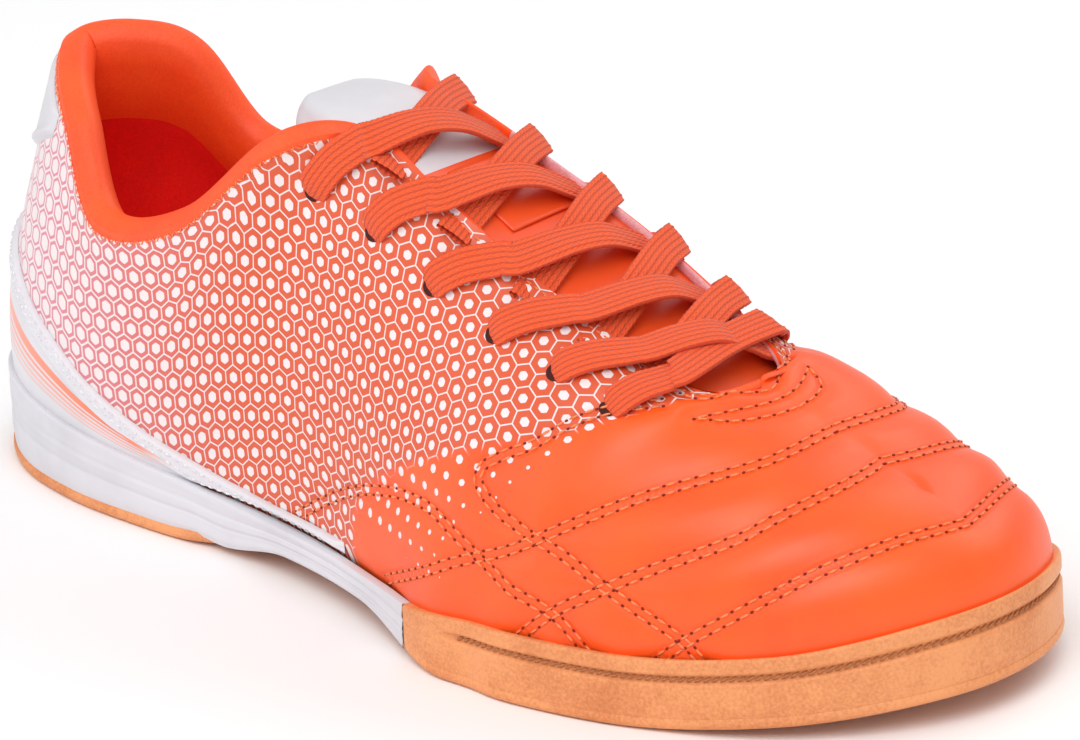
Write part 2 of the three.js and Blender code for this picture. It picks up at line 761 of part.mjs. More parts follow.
function buildCounter() {
  const lift = clearance + 1;
  const wallHere = (row) => wallTop(skin(row, 0.15).x);
  const [first, last] = [counterRows[0].row, counterRows[counterRows.length - 1].row];
  return overlay(
    first + 0.2,
    last - 0.2,
    (row) => shareAtHeight(row, wallHere(row) + lift),
    (row) => shareAtHeight(row, wallHere(row) + lift + 1.5 + counterAbove(row)),
    24,
    3,
  );
}

function buildHeelTab() {
  const { halfRows, middle, height, sideHeight, belowEdge } = heelTab;
  const heightAt = (row) => THREE.MathUtils.lerp(height, sideHeight, Math.abs(row - middle) / halfRows);
  return overlay(
    middle - halfRows,
    middle + halfRows,
    (row) => shareBelowTop(row, heightAt(row)),
    (row) => shareBelowTop(row, belowEdge),
    8,
    4,
  );
}

function buildKeeper() {
  const lines = 3;
  const across = 8;
  const front = [];
  const back = [];
  for (let i = 0; i <= lines; i++) {
    const line = THREE.MathUtils.lerp(keeper.from, keeper.to, i / lines);
    const places = Array.from({ length: across + 1 }, (_, j) => 0.5 + (j / across - 0.5) * keeper.width);
    front.push(places.map((place) => onTongue(line, place, clearance + keeperThickness)));
    back.push(places.map((place) => onTongue(line, place, clearance)));
  }
  return sheet(front, back);
}

// One flat strip of lace through points, each with the direction that its face looks.
function laceStrip(path) {
  const curve = new THREE.CatmullRomCurve3(path.map((p) => p.point), false, "centripetal");
  const steps = 10;
  const rings = [];
  const [w, h] = [laceWidth / 2, laceThickness / 2];
  const section = [
    [-w, 0],
    [-w + h, -h],
    [w - h, -h],
    [w, 0],
    [w - h, h],
    [-w + h, h],
  ];
  for (let i = 0; i <= steps; i++) {
    const s = i / steps;
    const centre = curve.getPoint(s);
    const tangent = curve.getTangent(s);
    const place = s * (path.length - 1);
    const k = Math.min(Math.floor(place), path.length - 2);
    const up = path[k].up.clone().lerp(path[k + 1].up, place - k).normalize();
    const sideways = tangent.clone().cross(up).normalize();
    const face = sideways.clone().cross(tangent).normalize();
    rings.push(section.map(([a, b]) => centre.clone().addScaledVector(sideways, a).addScaledVector(face, b)));
  }
  return ringBar(rings);
}

const laceLift = clearance + laceThickness / 2 + 0.1;

// Where a lace that runs between two pairs passes the edge of a flap, as a row
const edgeRow = (side, from, to) => THREE.MathUtils.lerp(eyeletAt(side, from).row, eyeletAt(side, to).row, 0.35);

// The part of a lace on a flap, from its eyelet to the edge of the throat
function overFlap({ row, share }, edge) {
  const places = [
    { row, t: share, lift: laceLift + 0.1 },
    { row: THREE.MathUtils.lerp(row, edge, 0.4), t: THREE.MathUtils.lerp(share, 1, 0.4), lift: laceLift + 0.5 },
    { row: THREE.MathUtils.lerp(row, edge, 0.8), t: THREE.MathUtils.lerp(share, 1, 0.8), lift: laceLift + 0.9 },
    { row: edge, t: 1, lift: laceLift + 2 },
  ];
  return places.map((place) => ({
    point: offSkin(place.row, place.t, place.lift),
    up: skinNormal(place.row, place.t),
  }));
}

// A strap from the edge of one flap, over the tongue and the other flap, to its eyelet
function laceStrap(side, pair) {
  const endRow = edgeRow(side, pair, pair + 1);
  const startRow = edgeRow(-side, pair + 1, pair);
  const startEdge = topPoint(startRow).point;
  const endEdge = topPoint(endRow).point;
  const up = skinNormal(endRow, 1).add(skinNormal(startRow, 1)).normalize();
  const start = startEdge.clone().lerp(endEdge, 0.16).addScaledVector(up, 1.8);
  const middle = startEdge.clone().lerp(endEdge, 0.5).addScaledVector(up, laceCrown);
  return laceStrip([{ point: start, up }, { point: middle, up }, ...overFlap(eyeletAt(side, pair), endRow).toReversed()]);
}

// The bar across the pair at the front end of the throat
function laceBar() {
  const last = eyeletPairs - 1;
  const [near, far] = [-1, 1].map((side) => overFlap(eyeletAt(side, last), eyeletAt(side, last).row));
  return laceStrip([...near, ...far.toReversed()]);
}

// Two straps joined where they cross, with the bar on the lowest two
function buildCrossing(pair) {
  const crossing = laceStrap(-1, pair).add(laceStrap(1, pair));
  return pair === eyeletPairs - 2 ? crossing.add(laceBar()) : crossing;
}

// Materials
const orangeLeather = { color: 0xfb6a35, roughness: 0.45 };
const whiteSynthetic = { color: 0xe9e6e8, roughness: 0.5 };
const whiteFoam = { color: 0xe4e1e6, roughness: 0.6 };
const gumRubber = { color: 0xe9995f, roughness: 0.55 };
const orangeLining = { color: 0xd2401c, roughness: 0.9 };
const orangeBraid = { color: 0xf0642f, roughness: 0.85 };

const shoe = new THREE.Group();

function addPiece(name, solid, finish) {
  const { vertProperties, triVerts } = solid.getMesh();
  const geometry = new THREE.BufferGeometry();
  geometry.setAttribute("position", new THREE.BufferAttribute(vertProperties, 3));
  geometry.setIndex(new THREE.BufferAttribute(triVerts, 1));
  geometry.computeVertexNormals();
  const mesh = new THREE.Mesh(geometry, new THREE.MeshStandardMaterial({ ...finish, metalness: 0 }));
  mesh.name = name;
  shoe.add(mesh);
}

addPiece("outsole", soleLoft(cupSide).subtract(midsoleRegion(clearance)), gumRubber);
addPiece("midsole", soleLoft(midsoleSide).intersect(midsoleRegion(0)), whiteFoam);
addPiece("upper", buildUpper(), orangeLeather);
addPiece("insole", buildInsole(), orangeLining);
addPiece("tongue", buildTongue(), whiteSynthetic);
addPiece("tongue_keeper", buildKeeper(), orangeLeather);
addPiece("heel_counter", buildCounter(), whiteSynthetic);
addPiece("heel_tab", buildHeelTab(), whiteSynthetic);
for (let pair = 0; pair < eyeletPairs - 1; pair++) addPiece("lace_" + (pair + 1), buildCrossing(pair), orangeBraid);

// The origin lies on the floor, under the middle of the shoe.
const box = new THREE.Box3().setFromObject(shoe);
const centre = box.getCenter(new THREE.Vector3());
shoe.position.set(-centre.x, -centre.y, -box.min.z);

export default shoe;
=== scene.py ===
import math
import bmesh
import bpy
import numpy as np
from mathutils import Matrix, Vector
from mathutils.kdtree import KDTree


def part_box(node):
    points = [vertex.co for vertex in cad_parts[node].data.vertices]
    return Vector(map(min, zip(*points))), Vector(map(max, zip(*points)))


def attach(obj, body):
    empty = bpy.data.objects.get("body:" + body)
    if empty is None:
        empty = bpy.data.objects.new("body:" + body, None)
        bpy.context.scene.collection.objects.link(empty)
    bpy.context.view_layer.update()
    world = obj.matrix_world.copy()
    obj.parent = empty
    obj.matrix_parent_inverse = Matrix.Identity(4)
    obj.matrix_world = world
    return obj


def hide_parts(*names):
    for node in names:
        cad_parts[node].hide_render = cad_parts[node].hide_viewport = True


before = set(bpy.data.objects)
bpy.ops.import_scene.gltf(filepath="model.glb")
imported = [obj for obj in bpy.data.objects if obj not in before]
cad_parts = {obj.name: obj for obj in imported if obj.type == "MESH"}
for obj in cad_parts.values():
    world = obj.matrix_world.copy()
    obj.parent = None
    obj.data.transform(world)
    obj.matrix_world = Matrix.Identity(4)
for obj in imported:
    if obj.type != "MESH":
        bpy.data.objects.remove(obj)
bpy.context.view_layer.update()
mm = 0.001

# Sizes of the shoe in millimetres, as its solids have them. Points are made in the shoe's own
# frame, x forwards from the heel, and moved into the row's frame when a mesh is made.
shoe = {
    "soleLength": 287,
    "ball": 54,
    "waist": 40,
    "heel": 35,
    "collar": 34,
    "throat": 20,
    "heelHeight": 96,
    "ankleHeight": 69,
    "instepHeight": 104,
    "toeHeight": 62,
    "wall": 2.2,
    "padding": 6,
    "soleInset": 2.8,
    "gum": 3,
    "footbed": 8.5,
    "heelLift": 6,
    "cup": 16,
    "heelWall": 22,
    "toeSpring": 7,
    "waistLift": 5.5,
    "insole": 3,
    "tongue": 5,
    "overlay": 1.2,
    "clearance": 0.35,
}
ball, waist, heel = shoe["ball"], shoe["waist"], shoe["heel"]
collar, throat = shoe["collar"], shoe["throat"]
heelTop, ankleTop = shoe["heelHeight"], shoe["ankleHeight"]
instepTop, toeTop = shoe["instepHeight"], shoe["toeHeight"]
cup, heelWall = shoe["cup"], shoe["heelWall"]


def table(names, rows):
    return {name: np.array([row[i] for row in rows], float) for i, name in enumerate(names.split())}


# Outline of the sole from the toe round the outer side, the heel and the inner side
footTable = table("along across half lowUp swell out down turn pad", [
    (1.0, 0.16, ball, 0.78, 0.085, 0.6, 0, 0, 0),
    (0.987, -0.13, ball, 0.78, 0.085, 0.6, 0, 0, 0),
    (0.945, -0.455, ball, 0.76, 0.085, 0.6, 0, 0, 0),
    (0.88, -0.72, ball, 0.7, 0.085, 0.6, 0, 0, 0),
    (0.785, -0.925, ball, 0.62, 0.06, 0.58, 0, 0.15, 0),
    (0.7, -1.02, ball, 0.55, 0.06, 0.55, 0, 0.4, 0),
    (0.655, -1.015, ball, 0.52, 0.05, 0.5, 0, 0.42, 0),
    (0.605, -1.005, ball, 0.5, 0.04, 0.5, 0.03, 0.18, 0),
    (0.53, -1.17, waist, 0.46, 0.03, 0.5, 0.06, 0.05, 0),
    (0.455, -1.02, waist, 0.42, 0.02, 0.5, 0.08, 0, 0),
    (0.385, -0.94, waist, 0.38, 0.02, 0.5, 0.14, 0, 0.25),
    (0.315, -1.03, heel, 0.36, 0.03, 0.45, 0.26, 0, 0.75),
    (0.235, -1.05, heel, 0.36, 0.05, 0.3, 0.35, 0, 1),
    (0.15, -1.02, heel, 0.36, 0.06, 0.5, 0.35, 0, 1),
    (0.07, -0.85, heel, 0.36, 0.075, 0.6, 0.35, 0, 1),
    (0.02, -0.53, heel, 0.36, 0.055, 0.65, 0.35, 0, 1),
    (0.0, 0.0, heel, 0.36, 0.055, 0.65, 0.35, 0, 1),
    (0.02, 0.494, heel, 0.36, 0.06, 0.65, 0.35, 0, 1),
    (0.07, 0.8, heel, 0.36, 0.09, 0.6, 0.35, 0, 1),
    (0.15, 0.94, heel, 0.36, 0.07, 0.5, 0.35, 0, 1),
    (0.235, 0.94, heel, 0.36, 0.05, 0.3, 0.35, 0, 1),
    (0.315, 0.91, heel, 0.36, 0.03, 0.45, 0.26, 0, 0.75),
    (0.385, 0.77, waist, 0.38, 0.02, 0.5, 0.2, 0, 0.25),
    (0.455, 0.797, waist, 0.42, 0.02, 0.5, 0.3, 0, 0),
    (0.53, 0.905, waist, 0.46, 0.03, 0.5, 0.35, 0.05, 0),
    (0.605, 0.81, ball, 0.5, 0.04, 0.5, 0.3, 0.18, 0),
    (0.665, 0.92, ball, 0.52, 0.05, 0.5, 0.04, 0.3, 0),
    (0.72, 0.985, ball, 0.55, 0.06, 0.55, -0.1, 0.3, 0),
    (0.8, 1.0, ball, 0.58, 0.06, 0.58, -0.06, 0.15, 0),
    (0.885, 0.92, ball, 0.62, 0.075, 0.6, 0, 0, 0),
    (0.95, 0.75, ball, 0.7, 0.075, 0.6, 0, 0, 0),
    (0.988, 0.465, ball, 0.74, 0.08, 0.6, 0, 0, 0),
])
# Ridge of the vamp, from above the toe back to the throat
ridgeTable = table("along across height fall", [
    (0.918, 0.14, 0.725, 0.36),
    (0.904, 0.14, 0.75, 0.36),
    (0.877, 0.125, 0.803, 0.36),
    (0.846, 0.093, 0.868, 0.36),
    (0.811, 0.056, 0.94, 0.36),
    (0.7825, 0.019, 1.0, 0.36),
])
# Edge of the opening, up the outer flap, round the collar and down the inner flap
openingTable = table("along across half height top fall", [
    (0.7825, 0.05, throat, 1.0, toeTop, 0.36),
    (0.764, -0.55, throat, 1.003, toeTop, 0.38),
    (0.695, -0.66, throat, 1.11, toeTop, 0.42),
    (0.61, -0.8, throat, 0.765, instepTop, 0.45),
    (0.526, -0.98, throat, 0.91, instepTop, 0.45),
    (0.46, -1.1, throat, 1.0, instepTop, 0.4),
    (0.393, -0.956, collar, 0.945, instepTop, 0.2),
    (0.291, -1.015, collar, 1.1, ankleTop, 0),
    (0.185, -0.91, collar, 0.99, ankleTop, 0),
    (0.122, -0.62, collar, 0.895, heelTop, 0),
    (0.078, -0.33, collar, 0.97, heelTop, 0),
    (0.051, 0.0, collar, 1.0, heelTop, 0),
    (0.077, 0.36, collar, 1.005, heelTop, 0),
    (0.113, 0.67, collar, 0.945, heelTop, 0),
    (0.162, 0.89, collar, 1.02, ankleTop, 0),
    (0.27, 0.97, collar, 1.03, ankleTop, 0),
    (0.361, 0.82, collar, 0.895, instepTop, 0.2),
    (0.415, 0.8, throat, 0.955, instepTop, 0.4),
    (0.516, 0.85, throat, 0.87, instepTop, 0.45),
    (0.604, 0.95, throat, 0.77, instepTop, 0.45),
    (0.691, 0.9, throat, 1.12, toeTop, 0.42),
    (0.765, 0.65, throat, 1.0, toeTop, 0.38),
])
# The sole from heel to toe
soleTable = table("along spring arch bed wall top", [
    (0.0, 0.4, 0, 1.0, 1.08, heelWall),
    (0.05, 0.08, 0, 1.0, 1.0, heelWall),
    (0.1, 0, 0, 1.0, 0.9, heelWall),
    (0.26, 0, 0, 0.85, 0.7, heelWall),
    (0.33, 0, 0.35, 0.7, 0.6, heelWall),
    (0.4, 0, 1.0, 0.6, 0.56, heelWall),
    (0.5, 0, 1.0, 0.42, 0.76, cup),
    (0.57, 0, 0.4, 0.2, 0.8, cup),
    (0.63, 0, 0, 0.06, 0.94, cup),
    (0.7, 0, 0, 0, 1.02, cup),
    (0.78, 0, 0, 0, 1.02, cup),
    (0.9, 0.4, 0, 0.45, 1.2, cup),
    (1.0, 1.0, 0, 1.3, 1.62, cup),
])
rowCount = len(footTable["along"])
throatRow = len(ridgeTable["along"]) - 1


def curveThrough(a, b, c, d, t):
    return 0.5 * (2 * b + (c - a) * t + (2 * a - 5 * b + 4 * c - d) * t**2 + (3 * b - a - 3 * c + d) * t**3)


def along(values, place, closed=True):
    place = np.asarray(place, float)
    count = len(values)
    if closed:
        start = np.floor(place).astype(int)
        pick = lambda k: values[(start + k) % count]
    else:
        padded = np.concatenate([[2 * values[0] - values[1]], values, [2 * values[-1] - values[-2]]])
        start = np.clip(np.floor(place).astype(int), 0, count - 2)
        pick = lambda k: padded[start + k + 1]
    return curveThrough(pick(-1), pick(0), pick(1), pick(2), place - start)


def soleValue(values, x):
    places = soleTable["along"]
    share = np.clip(np.asarray(x, float) / shoe["soleLength"], 0, 1)
    i = np.clip(np.searchsorted(places, share) - 1, 0, len(places) - 2)
    secant = np.diff(values) / np.diff(places)
    before, after = secant[:-1], secant[1:]
    product = before * after
    total = np.where(product > 0, before + after, 1)
    inner = np.where(product > 0, 2 * product / total, 0)
    slope = np.concatenate([[secant[0]], inner, [secant[-1]]])
    step = places[i + 1] - places[i]
    t = (share - places[i]) / step
    rise = values[i + 1] - values[i]
    left, right = slope[i] * step, slope[i + 1] * step
    return values[i] + t * left + t**2 * (3 * rise - 2 * left - right) + t**3 * (left + right - 2 * rise)


def ground(x):
    return soleValue(soleTable["spring"] * shoe["toeSpring"] + soleTable["arch"] * shoe["waistLift"], x)


def footbed(x):
    return soleValue(shoe["footbed"] + soleTable["bed"] * shoe["heelLift"], x)


def wallTop(x):
    return soleValue(soleTable["wall"] * soleTable["top"], x)


def unit(v):
    return v / np.maximum(np.linalg.norm(v, axis=-1, keepdims=True), 1e-12)


def outline(row):
    x = along(footTable["along"], row) * shoe["soleLength"]
    y = along(footTable["across"] * footTable["half"], row)
    return np.stack([x, y, np.zeros_like(x)], -1)


def outwards(row):
    step = outline(row + 0.02) - outline(row - 0.02)
    return unit(np.stack([-step[..., 1], step[..., 0], np.zeros_like(step[..., 0])], -1))


def footPoint(row):
    point = outline(row) - outwards(row) * shoe["soleInset"]
    point[..., 2] = footbed(point[..., 0]) + shoe["clearance"]
    return point


def topPoint(row):
    place = np.mod(row, rowCount)
    ridge = np.minimum(place, rowCount - place)
    v = place - throatRow
    size = shoe["soleLength"]
    onRidge = np.stack([
        along(ridgeTable["along"], ridge, False) * size,
        along(ridgeTable["across"], ridge, False) * ball,
        along(ridgeTable["height"], ridge, False) * toeTop,
    ], -1)
    onEdge = np.stack([
        along(openingTable["along"], v) * size,
        along(openingTable["across"] * openingTable["half"], v),
        along(openingTable["height"] * openingTable["top"], v),
    ], -1)
    front = ridge < throatRow
    fall = np.where(front, along(ridgeTable["fall"], ridge, False), along(openingTable["fall"], v))
    return np.where(front[..., None], onRidge, onEdge), fall


def ribs(row):
    row = np.asarray(row, float)
    read = lambda name: along(footTable[name], row)
    foot = footPoint(row)
    top, fall = topPoint(row)
    out = (foot - top) * [1, 1, 0]
    width = np.linalg.norm(out, axis=-1)
    out = unit(out)
    out[..., 0] += read("turn")
    out = unit(out)
    rise = top[..., 2] - foot[..., 2]
    low = foot + outwards(row) * (read("swell") * ball)[..., None]
    low[..., 2] += read("lowUp") * rise
    reach = read("out") * width
    high = top + out * reach[..., None]
    high[..., 2] -= read("down") * rise + fall * out[..., 0] * reach
    return foot, low, high, top, fall


def skin(row, t):
    row, t = np.broadcast_arrays(np.asarray(row, float), np.clip(t, 0, 1))
    foot, low, high, top, _ = ribs(row)
    s = t[..., None]
    return (1 - s)**3 * foot + 3 * (1 - s)**2 * s * low + 3 * (1 - s) * s**2 * high + s**3 * top


def onRidgeRow(row):
    place = np.mod(row, rowCount)
    return np.minimum(place, rowCount - place) <= throatRow + 1e-9


def skinNormal(row, t):
    row, t = np.broadcast_arrays(np.asarray(row, float), np.asarray(t, float))
    across = skin(row + 0.03, t) - skin(row - 0.03, t)
    up = skin(row, t + 0.01) - skin(row, t - 0.01)
    normal = unit(np.cross(up, across))
    fall = topPoint(row)[1]
    level = unit(np.stack([fall, np.zeros_like(fall), np.ones_like(fall)], -1))
    return np.where(((t > 0.999) & onRidgeRow(row))[..., None], level, normal)


def offSkin(row, t, distance):
    return skin(row, t) + skinNormal(row, t) * np.asarray(distance)[..., None]


def smooth(value):
    x = np.clip(value, 0, 1)
    return x * x * (3 - 2 * x)


def wallAt(row, t):
    pad = np.clip(along(footTable["pad"], row), 0, 1)
    return shoe["wall"] + pad * shoe["padding"] * smooth((t - 0.5) / 0.4)


# Share of a section at a length below its top, and at a height
sampleShares = np.linspace(0, 1, 161)


def shareBelowTop(row, length):
    row = np.atleast_1d(np.asarray(row, float))
    length = np.broadcast_to(length, row.shape)
    points = skin(row[:, None], sampleShares[None, :])
    steps = np.linalg.norm(np.diff(points, axis=1), axis=-1)
    down = np.concatenate([np.zeros((len(row), 1)), np.cumsum(steps[:, ::-1], axis=1)], 1)
    return np.array([np.interp(length[i], down[i], sampleShares[::-1]) for i in range(len(row))])


def shareAtHeight(row, z):
    row = np.atleast_1d(np.asarray(row, float))
    z = np.broadcast_to(z, row.shape)
    points = skin(row[:, None], sampleShares[None, :])[..., 2]
    rising = np.maximum.accumulate(points, axis=1)
    return np.array([np.interp(z[i], rising[i], sampleShares) for i in range(len(row))])


# The shoe's heel end lies at the low end of the outsole's box, and its middle line on its middle
outlineRows = np.arange(0, rowCount, 0.05)
heelEnd = outline(outlineRows)[:, 0].min()
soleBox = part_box("outsole")
sideMiddle = (outline(outlineRows)[:, 1].min() + outline(outlineRows)[:, 1].max()) / 2
shift = np.array([soleBox[0][0] / mm - heelEnd, (soleBox[0][1] + soleBox[1][1]) / 2 / mm - sideMiddle, 0])


def toFrame(points):
    return (np.asarray(points, float) + shift) * mm


# Camera, fitted to the photograph
camera = {
    "azimuth": 46.4,
    "elevation": 22.0,
    "roll": -3.8,
    "distance": 2000,
    "target": (142, 0, 40),
    "pixelsPerMm": 4.58,
    "targetPixel": (485.7, 388.7),
    "imageSize": (1080, 740),
    "sensor": 36,
}


def makeCamera():
    az, el, roll = (math.radians(camera[k]) for k in ("azimuth", "elevation", "roll"))
    back = Vector((math.sin(az) * math.cos(el), -math.cos(az) * math.cos(el), math.sin(el)))
    right = Vector((math.cos(az), math.sin(az), 0))
    up = back.cross(right)
    rolledRight = right * math.cos(roll) + up * math.sin(roll)
    rolledUp = up * math.cos(roll) - right * math.sin(roll)
    data = bpy.data.cameras.new("camera")
    wide, high = camera["imageSize"]
    data.sensor_width = camera["sensor"]
    data.lens = camera["pixelsPerMm"] * camera["distance"] / wide * camera["sensor"]
    data.shift_x = (wide / 2 - camera["targetPixel"][0]) / wide
    data.shift_y = (camera["targetPixel"][1] - high / 2) / wide
    data.clip_end = 20
    obj = bpy.data.objects.new("camera", data)
    bpy.context.scene.collection.objects.link(obj)
    place = Vector(toFrame(camera["target"])) + back * camera["distance"] * mm
    turn = Matrix((rolledRight, rolledUp, back)).transposed().to_4x4()
    obj.matrix_world = Matrix.Translation(place) @ turn
    bpy.context.scene.camera = obj


makeCamera()
print("camera is set")


# Meshes
def addMesh(name, points, faces, materials, faceMaterials=None, uv=None, attributes=None, weld=None):
    mesh = bpy.data.meshes.new(name)
    mesh.from_pydata(toFrame(points).tolist(), [], np.asarray(faces).tolist())
    for material in materials:
        mesh.materials.append(material)
    if faceMaterials is not None:
        mesh.polygons.foreach_set("material_index", np.asarray(faceMaterials, np.int32))
    for key, values in (attributes or {}).items():
        layer = mesh.attributes.new(key, "FLOAT", "POINT")
        layer.data.foreach_set("value", np.asarray(values, np.float32).ravel())
    if uv is not None:
        corners = np.zeros(len(mesh.loops), np.int32)
        mesh.loops.foreach_get("vertex_index", corners)
        layer = mesh.uv_layers.new(name="surface")
        layer.data.foreach_set("uv", np.asarray(uv, np.float32)[corners].ravel())
    mesh.polygons.foreach_set("use_smooth", np.ones(len(mesh.polygons), bool))
    mesh.update()
    obj = bpy.data.objects.new(name, mesh)
    bpy.context.scene.collection.objects.link(obj)
    if weld:
        mergeMesh(obj, weld)
    return obj


def mergeMesh(obj, distance):
    work = bmesh.new()
    work.from_mesh(obj.data)
    bmesh.ops.remove_doubles(work, verts=work.verts, dist=distance)
    bmesh.ops.dissolve_degenerate(work, edges=work.edges, dist=distance / 10)
    work.to_mesh(obj.data)
    work.free()


def gridFaces(rows, columns, closeRows=False, closeColumns=False, offset=0):
    i = np.arange(rows if closeRows else rows - 1)
    j = np.arange(columns if closeColumns else columns - 1)
    a, b = np.meshgrid(i, j, indexing="ij")
    a2, b2 = (a + 1) % rows, (b + 1) % columns
    quads = np.stack([a * columns + b, a2 * columns + b, a2 * columns + b2, a * columns + b2], -1)
    return quads.reshape(-1, 4) + offset


def facingOut(obj):
    work = bmesh.new()
    work.from_mesh(obj.data)
    bmesh.ops.recalc_face_normals(work, faces=work.faces)
    work.to_mesh(obj.data)
    work.free()
    return obj


# Material parts
def nodeGroup(name, inputs, outputs):
    tree = bpy.data.node_groups.new(name, "ShaderNodeTree")
    for label, kind, value in inputs:
        socket = tree.interface.new_socket(label, in_out="INPUT", socket_type="NodeSocket" + kind)
        if value is not None:
            socket.default_value = value
    for label, kind in outputs:
        tree.interface.new_socket(label, in_out="OUTPUT", socket_type="NodeSocket" + kind)
    return tree, tree.nodes.new("NodeGroupInput"), tree.nodes.new("NodeGroupOutput")


class Wiring:
    # Short ways to place and join nodes in one tree
    def __init__(self, tree):
        self.tree = tree

    def node(self, kind, **values):
        made = self.tree.nodes.new(kind)
        for key, value in values.items():
            setattr(made, key, value)
        return made

    def join(self, source, target):
        self.tree.links.new(source, target)

    def put(self, socket, value):
        if isinstance(value, bpy.types.NodeSocket):
            self.join(value, socket)
        else:
            socket.default_value = value

    def math(self, operation, a, b=0.0, c=0.0, clamp=False):
        made = self.node("ShaderNodeMath", operation=operation, use_clamp=clamp)
        for socket, value in zip(made.inputs, (a, b, c)):
            self.put(socket, value)
        return made.outputs[0]

    def vector(self, operation, a, b=(0, 0, 0), c=(0, 0, 0)):
        made = self.node("ShaderNodeVectorMath", operation=operation)
        for socket, value in zip(made.inputs, (a, b, c)):
            self.put(socket, value)
        return made.outputs["Value"] if operation in ("LENGTH", "DOT_PRODUCT") else made.outputs[0]

    def ramp(self, value, low, high, start=0.0, end=1.0, kind="SMOOTHSTEP"):
        made = self.node("ShaderNodeMapRange", interpolation_type=kind)
        for socket, item in zip(made.inputs, (value, low, high, start, end)):
            self.put(socket, item)
        return made.outputs[0]

    def mix(self, share, a, b, blend="MIX"):
        made = self.node("ShaderNodeMix", data_type="RGBA", blend_type=blend)
        self.put(made.inputs[0], share)
        self.put(made.inputs[6], a)
        self.put(made.inputs[7], b)
        return made.outputs[2]

    def noise(self, vector, scale, detail=3.0, roughness=0.5):
        made = self.node("ShaderNodeTexNoise")
        self.put(made.inputs["Vector"], vector)
        made.inputs["Scale"].default_value = scale
        made.inputs["Detail"].default_value = detail
        made.inputs["Roughness"].default_value = roughness
        return made.outputs[0]

    def attribute(self, name):
        return self.node("ShaderNodeAttribute", attribute_name=name).outputs["Fac"]

    def group(self, tree, **values):
        made = self.node("ShaderNodeGroup", node_tree=tree)
        for key, value in values.items():
            self.put(made.inputs[key], value)
        return made.outputs


def rgb(red, green, blue):
    channels = [c / 255 for c in (red, green, blue)]
    linear = [c / 12.92 if c <= 0.04045 else ((c + 0.055) / 1.055) ** 2.4 for c in channels]
    return (*linear, 1.0)


def newMaterial(name, roughness=0.5, **sockets):
    material = bpy.data.materials.new(name)
    material.use_nodes = True
    wires = Wiring(material.node_tree)
    shader = material.node_tree.nodes["Principled BSDF"]
    shader.inputs["Roughness"].default_value = roughness
    for key, value in sockets.items():
        shader.inputs[key].default_value = value
    return material, wires, shader


def bump(wires, shader, height, distance, strength=1.0, under=None):
    made = wires.node("ShaderNodeBump")
    made.inputs["Strength"].default_value = strength
    made.inputs["Distance"].default_value = distance
    wires.put(made.inputs["Height"], height)
    if under is not None:
        wires.join(under, made.inputs["Normal"])
    wires.join(made.outputs[0], shader.inputs["Normal"])
    return made.outputs[0]


def objectPlace(wires):
    return wires.node("ShaderNodeTexCoord").outputs["Object"]


def surfacePlace(wires):
    return wires.node("ShaderNodeUVMap", uv_map="surface").outputs[0]


# Fine grain of coated leather: soft cells with slight waves
def makeGrain():
    tree, start, end = nodeGroup(
        "softGrain",
        [("Place", "Vector", None), ("Scale", "Float", 900.0)],
        [("Height", "Float"), ("Tone", "Float")],
    )
    wires = Wiring(tree)
    scaled = wires.vector("SCALE", start.outputs["Place"])
    wires.join(start.outputs["Scale"], scaled.node.inputs["Scale"])
    cells = wires.node("ShaderNodeTexVoronoi", feature="SMOOTH_F1")
    wires.join(scaled, cells.inputs["Vector"])
    cells.inputs["Scale"].default_value = 1.0
    waves = wires.noise(scaled, 0.15, 4.0, 0.6)
    height = wires.math("ADD", wires.math("MULTIPLY", cells.outputs["Distance"], 0.5), wires.math("MULTIPLY", waves, 0.8))
    wires.join(height, end.inputs["Height"])
    wires.join(wires.noise(start.outputs["Place"], 40.0, 3.0, 0.55), end.inputs["Tone"])
    return tree


grain = makeGrain()


# Regular hexagons of pitch one: distance to the nearest edge, and how far out of its cell a point is
def makeHexCells():
    tree, start, end = nodeGroup("hexCells", [("Place", "Vector", None)], [("Edge", "Float"), ("Centre", "Float")])
    wires = Wiring(tree)
    size = (1.0, math.sqrt(3), 1.0)
    half = (0.5, math.sqrt(3) / 2, 0.5)

    def centred(place):
        wrapped = wires.vector("WRAP", place, size, (0, 0, 0))
        return wires.vector("MULTIPLY", wires.vector("SUBTRACT", wrapped, half), (1, 1, 0))

    first = centred(start.outputs["Place"])
    second = centred(wires.vector("SUBTRACT", start.outputs["Place"], half))
    nearer = wires.math("LESS_THAN", wires.vector("LENGTH", first), wires.vector("LENGTH", second))
    chosen = wires.node("ShaderNodeMix", data_type="VECTOR")
    wires.join(nearer, chosen.inputs[0])
    wires.join(second, chosen.inputs[4])
    wires.join(first, chosen.inputs[5])
    folded = wires.vector("ABSOLUTE", chosen.outputs[1])
    split = wires.node("ShaderNodeSeparateXYZ")
    wires.join(folded, split.inputs[0])
    slanted = wires.vector("DOT_PRODUCT", folded, (0.5, math.sqrt(3) / 2, 0))
    reach = wires.math("MAXIMUM", split.outputs[0], slanted)
    wires.join(wires.math("SUBTRACT", 0.5, reach), end.inputs["Edge"])
    rounded = wires.vector("LENGTH", folded)
    wires.join(wires.math("MULTIPLY_ADD", reach, 0.7, wires.math("MULTIPLY", rounded, 0.3)), end.inputs["Centre"])
    return tree


hexCells = makeHexCells()

